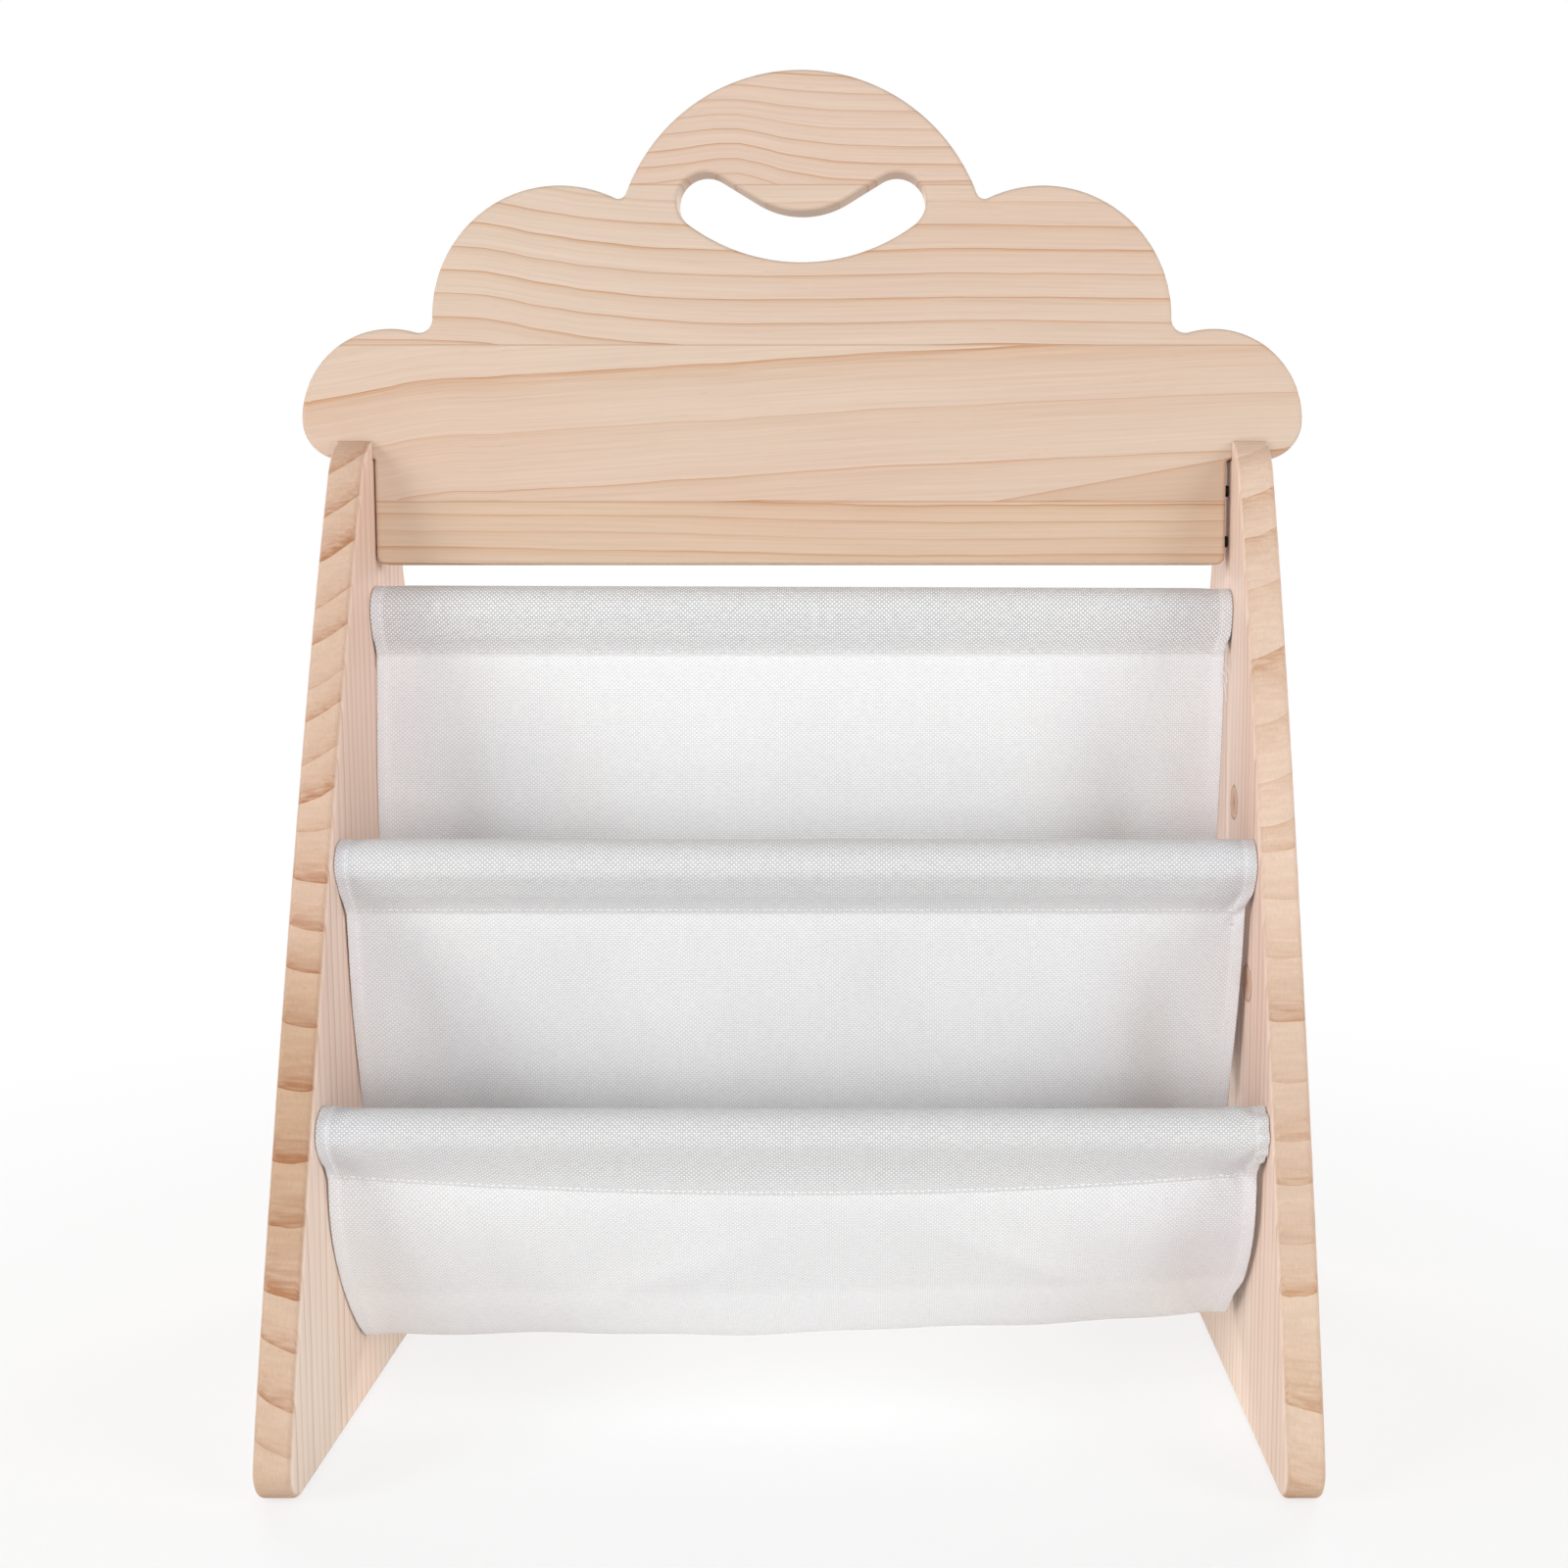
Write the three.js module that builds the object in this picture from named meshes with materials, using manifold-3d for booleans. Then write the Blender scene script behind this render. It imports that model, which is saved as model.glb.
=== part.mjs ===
// Sling bookshelf for a child's room, in millimetres.
// Two A-shaped wooden side panels stand on the floor and are joined by a cloud-shaped header
// board and three round dowels. Two lengths of canvas, sewn round the dowels, hang as pockets
// that show books by their front covers.
// +Z is up, +X is to the right and the open front faces -Y. The origin is on the floor, midway
// between the feet.

import * as THREE from "three";
import { mergeVertices } from "three/addons/utils/BufferGeometryUtils.js";
import Module from "manifold-3d";

const wasm = await Module();
wasm.setup();

// Driving dimensions of the frame
const clearWidth = 440; // between the inner faces of the side panels
const boardThickness = 18; // the side panels and the header are cut from the same board
const baseDepth = 356; // front of the front foot to back of the rear foot
const panelHeight = 485.5; // floor to the round top of a side panel
const apexRadius = 31;
const footCornerRadius = 16;
const ankleRise = 14; // pull of the upright start of the slanted edge, above the foot's corner
const slantDepthShare = 0.504; // the edge then leans to this share of half the base depth
const slantHeightShare = 0.6776; // at this share of the panel's height
const panelEdgeRadius = 3;
const slotDepth = 11; // the header's wings sit this far down in the tops of the side panels

// Driving dimensions of the cloud-shaped header
const headerRise = 194.5; // underside of the wings to the top of the middle lobe
const wingOverhang = 18; // past the outer face of a side panel
const wingCornerRadius = 20;
const crownRadiusShare = 0.373; // the lobes' sizes and places are shares of the half width
const shoulderRadiusShare = 0.2578;
const shoulderOffsetShare = 0.4785;
const wingRadiusShare = 0.18;
const shoulderHeightShare = 0.3676; // of the header's rise
const crownValleyRadius = 4;
const wingValleyRadius = 7;
const tabDepth = 53.5; // the part between the side panels, below the wings
const tabCornerRadius = 4.5;
const tabPlayLeft = 0.3; // the header sits a little to the left between the panels
const tabPlayRight = 2.3;
const headerEdgeRadius = 2;

// Hand hole in the header, a smile with two round ends and a bump in its upper edge
const handHoleDrop = 65; // top of the middle lobe to the centres of the round ends
const handHoleReach = 48.5;
const handHoleEndRadius = 14.5;
const handHoleDepth = 30.1; // from those centres down to the lowest point
const handHoleBumpDepth = 4.8; // and down to the tip of the bump
const handHoleSlope = THREE.MathUtils.degToRad(31.3); // upper edge between bump and round end

// Dowels: the upper one hangs below the header's tab, the others follow the slanted front edge
const dowelDiameter = 20;
const dowelChamfer = 1;
const topDowelDrop = 24; // header's tab to the centre of the dowel
const topDowelForward = 9;
const middleDowelHeight = 276;
const frontDowelHeight = 155;
const dowelInset = 17.75; // of these two, from the front edge of the side panels

// Canvas: sheet, its sewn casings and the two pockets that hang between them
const clothSideGap = 2; // to the side panels
const clothThickness = 1.2;
const clothLayerGap = 0.4; // between layers where they are stitched together
const casingClearance = 0.5; // between the canvas and the dowel inside it
const topCasing = { back: -4, tail: 10.9 }; // stitching behind and below the round of canvas
const middleCasing = { back: 4, tail: 12.9 };
const frontCasing = { back: 3.5, tail: 16.9 };
const rearPocket = { back: 45, drop: 85, backLeanShare: -0.03, frontLeanShare: 0.24 };
const frontPocket = { back: 64, drop: 94, backLeanShare: 0.2, frontLeanShare: 0 };
const foldDepth = 1.6; // soft upright folds in the hanging canvas
const foldLength = 167; // from one fold to the next
const foldFade = 60; // height over which the folds die out below a seam
const bottomLift = 9; // the right half of the front pocket hangs higher than the left

// A pocket's bottom lies behind the dowel and below the stitching of its front wall. Its lean
// shares are how far back each wall goes for each step down. The shares below are those of a
// wall's height over which the canvas keeps its direction at a seam and at the bottom.
const backWallTopShare = 0.5;
const backWallBottomShare = 0.15;
const frontWallTopShare = 0.4;
const frontWallBottomShare = 0.14;

// Fasteners: bolts through the panels into sleeves in the dowels and barrel nuts in the header
const boltDiameter = 6;
const boltHeadDiameter = 15;
const boltHeadHeight = 2.2;
const boltHeadRim = 1.2; // upright edge of the head, under its dome
const boltTipChamfer = 0.8;
const boltTipRoom = 8.6; // bore in a dowel past the tip of its bolt
const socketAcross = 4;
const socketDepth = 1.6;
const dowelBoltLength = 32;
const headerBoltLength = 56;
const headerBoltShares = [0.7757, 0.2897]; // of the tab's depth, below the wings
const boltClearance = 0.35; // around a bolt where it passes through wood or metal
const sleeveDiameter = 9;
const sleeveLength = 14;
const barrelDiameter = 10;
const barrelLength = 13;
const barrelTipRun = 7; // middle of the barrel nut to the tip of its bolt

// Clearances and mesh fineness
const seatGap = 0.3; // between pieces that rest on each other
const cutOverrun = 5; // how far a cutting solid runs past the wood
const chordError = 0.12; // greatest distance from a curve to its facets
const boltSides = 12;
const boreSides = 16;
const dowelSides = 28;
const clothStations = 12; // across the width of the canvas
const wallSteps = 8; // along each half of a pocket wall
const edgeSteps = 14; // along a slanted panel edge

// Values that follow from those above
const innerFace = clearWidth / 2;
const outerFace = innerFace + boardThickness;
const boltRadius = boltDiameter / 2;
const wingBottom = panelHeight - slotDepth;
const wingReach = outerFace + wingOverhang;
const crownTop = wingBottom + headerRise;
const headerBoltHeights = headerBoltShares.map((share) => wingBottom - share * tabDepth);
const barrelInset = headerBoltLength - barrelTipRun;
const barrelY = boardThickness / 2 - seatGap - barrelLength / 2; // flush with the header's back
const clothWidth = clearWidth - 2 * clothSideGap;
const layerPitch = clothThickness + clothLayerGap;
const casingRadius = dowelDiameter / 2 + casingClearance + clothThickness / 2;

// Places in the YZ plane of the dowels, the stitching below them and the pockets' bottoms
const topDowel = { name: "top", y: -topDowelForward, z: wingBottom - tabDepth - topDowelDrop };
const middleDowel = edgeDowel("middle", middleDowelHeight);
const frontDowel = edgeDowel("front", frontDowelHeight);
const dowels = [topDowel, middleDowel, frontDowel];
const topSeam = seamBelow(topDowel, topCasing);
const middleSeam = seamBelow(middleDowel, middleCasing);
const frontSeam = seamBelow(frontDowel, frontCasing);
const rearBottom = pocketBottom(middleDowel, middleSeam, rearPocket);
const frontBottom = pocketBottom(frontDowel, frontSeam, frontPocket);

// Axes for a profile drawn in the YZ plane and for one drawn in the XZ plane
const sideProfileAxes = new THREE.Matrix4().makeBasis(
  new THREE.Vector3(0, 1, 0),
  new THREE.Vector3(0, 0, 1),
  new THREE.Vector3(1, 0, 0),
);
const frontProfileAxes = new THREE.Matrix4().makeBasis(
  new THREE.Vector3(1, 0, 0),
  new THREE.Vector3(0, 0, 1),
  new THREE.Vector3(0, -1, 0),
);

const pine = new THREE.Color(0.88, 0.75, 0.6);
const canvasWhite = new THREE.Color(0.93, 0.93, 0.93);
const blackSteel = new THREE.Color(0.06, 0.06, 0.065);
const zincSteel = new THREE.Color(0.7, 0.71, 0.72);

// A closed geometry as a solid that can be joined and cut
function solidOf(geometry) {
  const bare = geometry.clone();
  bare.deleteAttribute("normal");
  bare.deleteAttribute("uv");
  const merged = mergeVertices(bare);
  return new wasm.Manifold(
    new wasm.Mesh({
      numProp: 3,
      vertProperties: new Float32Array(merged.attributes.position.array),
      triVerts: new Uint32Array(merged.index.array),
    }),
  );
}

// A solid as a three.js geometry
function geometryOf(solid) {
  const mesh = solid.getMesh();
  const geometry = new THREE.BufferGeometry();
  geometry.setAttribute("position", new THREE.BufferAttribute(mesh.vertProperties, mesh.numProp));
  geometry.setIndex(new THREE.BufferAttribute(mesh.triVerts, 1));
  geometry.computeVertexNormals();
  return geometry;
}

// Points along an arc, close enough together that facets stay within the chord error
function arcPoints(centre, radius, from, to) {
  const turn = to - from;
  const step = 2 * Math.acos(Math.max(1 - chordError / radius, 0));
  const count = Math.max(2, Math.ceil(Math.abs(turn) / step));
  return Array.from({ length: count + 1 }, (_, i) => {
    const angle = from + (turn * i) / count;
    return new THREE.Vector2(
      centre.x + radius * Math.cos(angle),
      centre.y + radius * Math.sin(angle),
    );
  });
}

// Angle on a circle at which the line from an outside point touches it
function tangentAngle(point, centre, radius, side) {
  const reach = Math.hypot(point.x - centre.x, point.y - centre.y);
  const towards = Math.atan2(point.y - centre.y, point.x - centre.x);
  return towards + side * Math.acos(radius / reach);
}

// Centre of the small circle that fills the valley between two lobes
function valleyCentre(inner, outer, radius) {
  const reachInner = inner.radius + radius;
  const reachOuter = outer.radius + radius;
  const across = new THREE.Vector2().subVectors(outer.centre, inner.centre);
  const distance = across.length();
  const along = (distance ** 2 + reachInner ** 2 - reachOuter ** 2) / (2 * distance);
  const height = Math.sqrt(reachInner ** 2 - along ** 2);
  const unit = across.normalize();
  return new THREE.Vector2(
    inner.centre.x + unit.x * along - unit.y * height,
    inner.centre.y + unit.y * along + unit.x * height,
  );
}

const angleTo = (from, to) => Math.atan2(to.y - from.y, to.x - from.x);

const asPoint = (place) => new THREE.Vector2(place.y, place.z);

const mirrored = (points) => points.map((p) => new THREE.Vector2(-p.x, p.y)).reverse();

// A round cutter along X, centred at the given place
function boreAlongX(radius, length, x, y, z) {
  const bore = new THREE.CylinderGeometry(radius, radius, length, boreSides);
  bore.rotateZ(Math.PI / 2).translate(x, y, z);
  return solidOf(bore);
}

// The three curves of half a side panel's outline: the foot's corner, the slanted edge and the
// round top
function panelCurves() {
  const half = baseDepth / 2;
  const heel = new THREE.Vector2(half - footCornerRadius, footCornerRadius);
  const ankle = new THREE.Vector2(half, footCornerRadius);
  const pull = new THREE.Vector2(half, footCornerRadius + ankleRise);
  const lean = new THREE.Vector2(slantDepthShare * half, slantHeightShare * panelHeight);
  const apex = new THREE.Vector2(0, panelHeight - apexRadius);
  const corner = arcPoints(heel, footCornerRadius, -Math.PI / 2, 0);
  const top = arcPoints(apex, apexRadius, tangentAngle(lean, apex, apexRadius, 1), Math.PI / 2);
  const slant = new THREE.CubicBezierCurve(ankle, pull, lean, top[0]);
  return { corner, slant, top };
}

// Half of a side panel's outline, from the foot over the slanted edge to the round top
function panelEdge() {
  const { corner, slant, top } = panelCurves();
  return [...corner, ...slant.getPoints(edgeSteps).slice(1), ...top.slice(1)];
}

// How far the slanted edge stands from the middle of the panel at a height above the floor
function edgeDepthAt(height) {
  const { slant } = panelCurves();
  let low = 0;
  let high = 1;
  for (let halving = 0; halving < 30; halving++) {
    const share = (low + high) / 2;
    if (slant.getPoint(share).y < height) low = share;
    else high = share;
  }
  return slant.getPoint(low).x;
}

// A dowel set in from the slanted front edge of the side panels
function edgeDowel(name, height) {
  return { name, y: dowelInset - edgeDepthAt(height), z: height };
}

// Front layer of the canvas at the stitching below a dowel
function seamBelow(dowel, casing) {
  return { y: dowel.y + casing.back, z: dowel.z - casingRadius - casing.tail };
}

// Lowest line of a pocket, from the dowel and the stitching of its front wall
function pocketBottom(dowel, seam, pocket) {
  return { y: dowel.y + pocket.back, z: seam.z - pocket.drop };
}

// Side panel: the A-shaped board, its slot for the header and its bolt holes
function sidePanelGeometry() {
  const edge = panelEdge();
  const outline = [...edge, ...mirrored(edge).slice(1)];
  const blank = new THREE.ExtrudeGeometry(new THREE.Shape(outline), {
    depth: boardThickness - 2 * panelEdgeRadius,
    bevelThickness: panelEdgeRadius,
    bevelSize: panelEdgeRadius,
    bevelOffset: -panelEdgeRadius,
    bevelSegments: 3,
  });
  blank.translate(0, 0, panelEdgeRadius - boardThickness / 2).applyMatrix4(sideProfileAxes);

  const slotFloor = wingBottom - seatGap;
  const slotTop = panelHeight + cutOverrun;
  const slotHeight = slotTop - slotFloor;
  const slot = new THREE.BoxGeometry(
    boardThickness + 2 * cutOverrun,
    boardThickness + 2 * seatGap,
    slotHeight,
  );
  slot.translate(0, 0, slotFloor + slotHeight / 2);

  const holeRadius = boltRadius + boltClearance;
  const holeLength = boardThickness + 2 * cutOverrun;
  let panel = solidOf(blank).subtract(solidOf(slot));
  for (const dowel of dowels) {
    panel = panel.subtract(boreAlongX(holeRadius, holeLength, 0, dowel.y, dowel.z));
  }
  for (const height of headerBoltHeights) {
    panel = panel.subtract(boreAlongX(holeRadius, holeLength, 0, 0, height));
  }
  return geometryOf(panel);
}

// Right half of the header's outline above its tab, from the wing's underside to the crown
function cloudEdge() {
  const crownRadius = crownRadiusShare * wingReach;
  const wingRadius = wingRadiusShare * wingReach;
  const shoulderX = shoulderOffsetShare * wingReach;
  const shoulderZ = wingBottom + shoulderHeightShare * headerRise;
  const wingZ = wingBottom + wingCornerRadius;
  const crown = {
    centre: new THREE.Vector2(0, crownTop - crownRadius),
    radius: crownRadius,
  };
  const shoulder = {
    centre: new THREE.Vector2(shoulderX, shoulderZ),
    radius: shoulderRadiusShare * wingReach,
  };
  const wing = {
    centre: new THREE.Vector2(wingReach - wingRadius, wingZ),
    radius: wingRadius,
  };
  const wingCorner = new THREE.Vector2(wingReach - wingCornerRadius, wingZ);
  const outerValley = valleyCentre(shoulder, wing, wingValleyRadius);
  const innerValley = valleyCentre(crown, shoulder, crownValleyRadius);
  const wingEnd = angleTo(wing.centre, outerValley);
  const shoulderStart = angleTo(shoulder.centre, outerValley);
  const shoulderEnd = angleTo(shoulder.centre, innerValley);
  const crownStart = angleTo(crown.centre, innerValley);
  return [
    ...arcPoints(wingCorner, wingCornerRadius, -Math.PI / 2, 0),
    ...arcPoints(wing.centre, wing.radius, 0, wingEnd).slice(1),
    ...arcPoints(
      outerValley,
      wingValleyRadius,
      wingEnd - Math.PI,
      shoulderStart - Math.PI,
    ).slice(1),
    ...arcPoints(shoulder.centre, shoulder.radius, shoulderStart, shoulderEnd).slice(1),
    ...arcPoints(
      innerValley,
      crownValleyRadius,
      shoulderEnd - Math.PI,
      crownStart - Math.PI,
    ).slice(1),
    ...arcPoints(crown.centre, crown.radius, crownStart, Math.PI / 2).slice(1),
  ];
}

// Right half of the tab's outline, from its lower edge up to the wing's underside
function tabEdge(play) {
  const seat = innerFace - seatGap;
  const corner = new THREE.Vector2(
    seat - play - tabCornerRadius,
    wingBottom - tabDepth + tabCornerRadius,
  );
  const inner = new THREE.Vector2(seat, wingBottom - play);
  return [
    ...arcPoints(corner, tabCornerRadius, -Math.PI / 2, 0),
    ...arcPoints(inner, play, Math.PI, Math.PI / 2),
  ];
}

// Right half of the hand hole. The bump and the round end are joined by a line that touches
// both circles, and the lower edge is the circle that holds the round ends and touches them.
function handHoleEdge() {
  const sine = Math.sin(handHoleSlope);
  const cosine = Math.cos(handHoleSlope);
  const end = new THREE.Vector2(handHoleReach, crownTop - handHoleDrop);
  const lineRise = (handHoleReach - handHoleEndRadius * sine) * Math.tan(handHoleSlope);
  const bumpRise = lineRise - handHoleEndRadius * cosine - handHoleBumpDepth;
  const bumpRadius = bumpRise / (1 / cosine - 1);
  const bump = new THREE.Vector2(0, end.y - handHoleBumpDepth + bumpRadius);
  const bumpTouch = handHoleSlope - Math.PI / 2;
  const endTouch = handHoleSlope + Math.PI / 2;
  const span = handHoleReach ** 2 - handHoleEndRadius ** 2;
  const lowerRadius = (span + handHoleDepth ** 2) / (2 * (handHoleDepth - handHoleEndRadius));
  const lower = new THREE.Vector2(0, end.y - handHoleDepth + lowerRadius);
  const lowerTouch = angleTo(lower, end);
  return [
    ...arcPoints(bump, bumpRadius, -Math.PI / 2, bumpTouch),
    ...arcPoints(end, handHoleEndRadius, endTouch, lowerTouch),
    ...arcPoints(lower, lowerRadius, lowerTouch, -Math.PI / 2).slice(1),
  ];
}

// Cloud-shaped header with its hand hole, bolt holes and the pockets of the barrel nuts
function headerGeometry() {
  const cloud = cloudEdge();
  const shape = new THREE.Shape([
    ...tabEdge(tabPlayRight),
    ...cloud,
    ...mirrored(cloud).slice(1),
    ...mirrored(tabEdge(tabPlayLeft)),
  ]);
  const hole = handHoleEdge();
  shape.holes.push(new THREE.Path([...hole, ...mirrored(hole).slice(1, -1)]));
  const blank = new THREE.ExtrudeGeometry(shape, {
    depth: boardThickness - 2 * headerEdgeRadius,
    bevelThickness: headerEdgeRadius,
    bevelSize: headerEdgeRadius,
    bevelOffset: -headerEdgeRadius,
    bevelSegments: 2,
  });
  blank.translate(0, 0, headerEdgeRadius - boardThickness / 2).applyMatrix4(frontProfileAxes);

  const boltEnd = outerFace + seatGap - headerBoltLength - cutOverrun;
  const boltBoreLength = innerFace + cutOverrun - boltEnd;
  const barrelPocketDepth = barrelLength + 2 * seatGap;
  const barrelX = outerFace - barrelInset;
  let header = solidOf(blank);
  for (const side of [-1, 1]) {
    for (const height of headerBoltHeights) {
      const boltBoreX = side * (boltEnd + boltBoreLength / 2);
      header = header.subtract(
        boreAlongX(boltRadius + boltClearance, boltBoreLength, boltBoreX, 0, height),
      );
      const pocketRadius = barrelDiameter / 2 + seatGap;
      const pocketLength = barrelPocketDepth + cutOverrun;
      const pocket = new THREE.CylinderGeometry(
        pocketRadius,
        pocketRadius,
        pocketLength,
        boreSides,
      );
      const pocketY = boardThickness / 2 - barrelPocketDepth + pocketLength / 2;
      pocket.translate(side * barrelX, pocketY, height);
      header = header.subtract(solidOf(pocket));
    }
  }
  return geometryOf(header);
}

// Dowel with chamfered ends, bored at both ends for a threaded sleeve and a bolt
function dowelGeometry() {
  const radius = dowelDiameter / 2;
  const half = innerFace - seatGap;
  const profile = [
    new THREE.Vector2(0, -half),
    new THREE.Vector2(radius - dowelChamfer, -half),
    new THREE.Vector2(radius, dowelChamfer - half),
    new THREE.Vector2(radius, half - dowelChamfer),
    new THREE.Vector2(radius - dowelChamfer, half),
    new THREE.Vector2(0, half),
  ];
  const rod = new THREE.LatheGeometry(profile, dowelSides);
  rod.rotateZ(-Math.PI / 2);
  let dowel = solidOf(rod);
  for (const side of [-1, 1]) {
    const sleeveCut = sleeveLength + seatGap + cutOverrun;
    const sleeveX = side * (half + cutOverrun - sleeveCut / 2);
    const boltCut = dowelBoltLength - boardThickness - 2 * seatGap + boltTipRoom + cutOverrun;
    const boltX = side * (half + cutOverrun - boltCut / 2);
    dowel = dowel
      .subtract(boreAlongX(sleeveDiameter / 2 + seatGap, sleeveCut, sleeveX, 0, 0))
      .subtract(boreAlongX(boltRadius + boltClearance, boltCut, boltX, 0, 0));
  }
  return geometryOf(dowel);
}

// Threaded sleeve: a plain tube along X with its mouth at the origin and its body behind it
function sleeveGeometry() {
  const bore = boltRadius + boltClearance;
  const outside = sleeveDiameter / 2;
  const tube = new THREE.LatheGeometry(
    [
      new THREE.Vector2(bore, -sleeveLength),
      new THREE.Vector2(outside, -sleeveLength),
      new THREE.Vector2(outside, 0),
      new THREE.Vector2(bore, 0),
      new THREE.Vector2(bore, -sleeveLength),
    ],
    boreSides,
  );
  return tube.rotateZ(-Math.PI / 2);
}

// Barrel nut: a short cylinder along Y with a cross hole in line with its bolt
function barrelNutGeometry() {
  const barrel = new THREE.CylinderGeometry(
    barrelDiameter / 2,
    barrelDiameter / 2,
    barrelLength,
    boreSides,
  );
  const cross = boreAlongX(
    boltRadius + boltClearance,
    barrelDiameter + 2 * cutOverrun,
    0,
    -barrelY,
    0,
  );
  return geometryOf(solidOf(barrel).subtract(cross));
}

// Furniture bolt along X: domed head with a hexagon socket, its underside at the origin
function boltGeometry(length) {
  const headRadius = boltHeadDiameter / 2;
  const profile = [
    new THREE.Vector2(0, -length),
    new THREE.Vector2(boltRadius - boltTipChamfer, -length),
    new THREE.Vector2(boltRadius, boltTipChamfer - length),
    new THREE.Vector2(boltRadius, 0),
    new THREE.Vector2(headRadius, 0),
    new THREE.Vector2(headRadius, boltHeadRim),
    new THREE.Vector2(socketAcross, boltHeadHeight),
    new THREE.Vector2(0, boltHeadHeight),
  ];
  const body = new THREE.LatheGeometry(profile, boltSides);
  body.rotateZ(-Math.PI / 2);
  const socketLength = socketDepth + cutOverrun;
  const socketRadius = socketAcross / 2 / Math.cos(Math.PI / 6);
  const socket = new THREE.CylinderGeometry(socketRadius, socketRadius, socketLength, 6);
  socket.rotateZ(Math.PI / 2);
  socket.translate(boltHeadHeight - socketDepth + socketLength / 2, 0, 0);
  return geometryOf(solidOf(body).subtract(solidOf(socket)));
}

// Canvas round a dowel, seen from its end: up one side from the seam, over and down again.
// It starts at the back layer; the path is in the YZ plane.
function casingPath(dowel, seam) {
  const centre = new THREE.Vector2(dowel.y, dowel.z);
  const front = new THREE.Vector2(seam.y, seam.z);
  const back = front.clone().setX(seam.y + layerPitch);
  const backTouch = tangentAngle(back, centre, casingRadius, 1);
  const frontTouch = tangentAngle(front, centre, casingRadius, -1) + 2 * Math.PI;
  return [back, ...arcPoints(centre, casingRadius, backTouch, frontTouch), front];
}

// Canvas of one pocket: down the back wall, round the bottom and up the front wall
function pocketPath(backEnd, pocket, lowest, frontEnd) {
  const backTop = asPoint(backEnd);
  const bottom = asPoint(lowest);
  const frontTop = asPoint(frontEnd);
  const backDrop = backTop.y - bottom.y;
  const frontDrop = frontTop.y - bottom.y;
  const backReach = backDrop * backWallTopShare;
  const frontReach = frontDrop * frontWallTopShare;
  const backWall = new THREE.CubicBezierCurve(
    backTop,
    new THREE.Vector2(backTop.x + backReach * pocket.backLeanShare, backTop.y - backReach),
    new THREE.Vector2(bottom.x + backDrop * backWallBottomShare, bottom.y),
    bottom,
  );
  const frontWall = new THREE.CubicBezierCurve(
    bottom,
    new THREE.Vector2(bottom.x - frontDrop * frontWallBottomShare, bottom.y),
    new THREE.Vector2(frontTop.x + frontReach * pocket.frontLeanShare, frontTop.y - frontReach),
    frontTop,
  );
  return [...backWall.getPoints(wallSteps), ...frontWall.getPoints(wallSteps).slice(1)];
}

// Outline of a sheet of even thickness that follows a path
function thickened(path) {
  const half = clothThickness / 2;
  const offset = (i, side) => {
    const before = path[Math.max(i - 1, 0)];
    const after = path[Math.min(i + 1, path.length - 1)];
    const along = after.clone().sub(before).normalize();
    return new THREE.Vector2(path[i].x - side * half * along.y, path[i].y + side * half * along.x);
  };
  const left = path.map((_, i) => offset(i, 1));
  const right = path.map((_, i) => offset(i, -1));
  return [...left, ...right.reverse()];
}

// Height of the stitching above a point of a pocket, from its front seam to its back seam
function seamHeightAt(y, frontTop, backTop) {
  const start = frontTop.y + 2 * casingRadius;
  const share = THREE.MathUtils.clamp((y - start) / (backTop.y - start), 0, 1);
  return THREE.MathUtils.lerp(frontTop.z, backTop.z, share);
}

// A sheet of canvas that follows a path, with soft folds below its seams
function canvasGeometry(path, frontTop, backTop, bottom, lift) {
  const sheet = new THREE.ExtrudeGeometry(new THREE.Shape(thickened(path)), {
    depth: clothWidth,
    steps: clothStations,
    bevelEnabled: false,
  });
  sheet.translate(0, 0, -clothWidth / 2).applyMatrix4(sideProfileAxes);
  const position = sheet.attributes.position;
  for (let i = 0; i < position.count; i++) {
    const x = position.getX(i);
    const y = position.getY(i);
    const z = position.getZ(i);
    const below = (seamHeightAt(y, frontTop, backTop) - z) / foldFade;
    const strength = THREE.MathUtils.smoothstep(below, 0, 1);
    const fold = foldDepth * Math.sin((2 * Math.PI * x) / foldLength);
    const towardsBottom = (frontTop.z - z) / (frontTop.z - bottom.z);
    const lowness = THREE.MathUtils.smoothstep(towardsBottom, 0, 1);
    const rightness = THREE.MathUtils.smoothstep(x / clothWidth, 0, 1 / 4);
    position.setY(i, y + fold * strength);
    position.setZ(i, z + lift * lowness * rightness);
  }
  return sheet;
}

// Rear canvas: casing round the top dowel, then the rear pocket up to the middle seam
function rearCanvasGeometry() {
  const end = { y: middleSeam.y + 2 * layerPitch, z: middleSeam.z };
  const pocket = pocketPath(topSeam, rearPocket, rearBottom, end);
  const path = [...casingPath(topDowel, topSeam), ...pocket.slice(1)];
  return canvasGeometry(path, end, topSeam, rearBottom, 0);
}

// Front canvas: casing round the middle dowel, the front pocket, casing round the front dowel
function frontCanvasGeometry() {
  const pocket = pocketPath(middleSeam, frontPocket, frontBottom, frontSeam);
  const path = [
    ...casingPath(middleDowel, middleSeam),
    ...pocket.slice(1),
    ...casingPath(frontDowel, frontSeam).reverse().slice(1),
  ];
  return canvasGeometry(path, frontSeam, middleSeam, frontBottom, bottomLift);
}

// A named mesh with a material of its own
function piece(name, geometry, color, roughness, metalness) {
  const mesh = new THREE.Mesh(
    geometry,
    new THREE.MeshStandardMaterial({ color, roughness, metalness }),
  );
  mesh.name = name;
  return mesh;
}

const wooden = (name, geometry) => piece(name, geometry, pine, 0.55, 0);
const woven = (name, geometry) => piece(name, geometry, canvasWhite, 0.9, 0);
const blackened = (name, geometry) => piece(name, geometry, blackSteel, 0.45, 0.8);
const zinced = (name, geometry) => piece(name, geometry, zincSteel, 0.4, 0.9);

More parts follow.
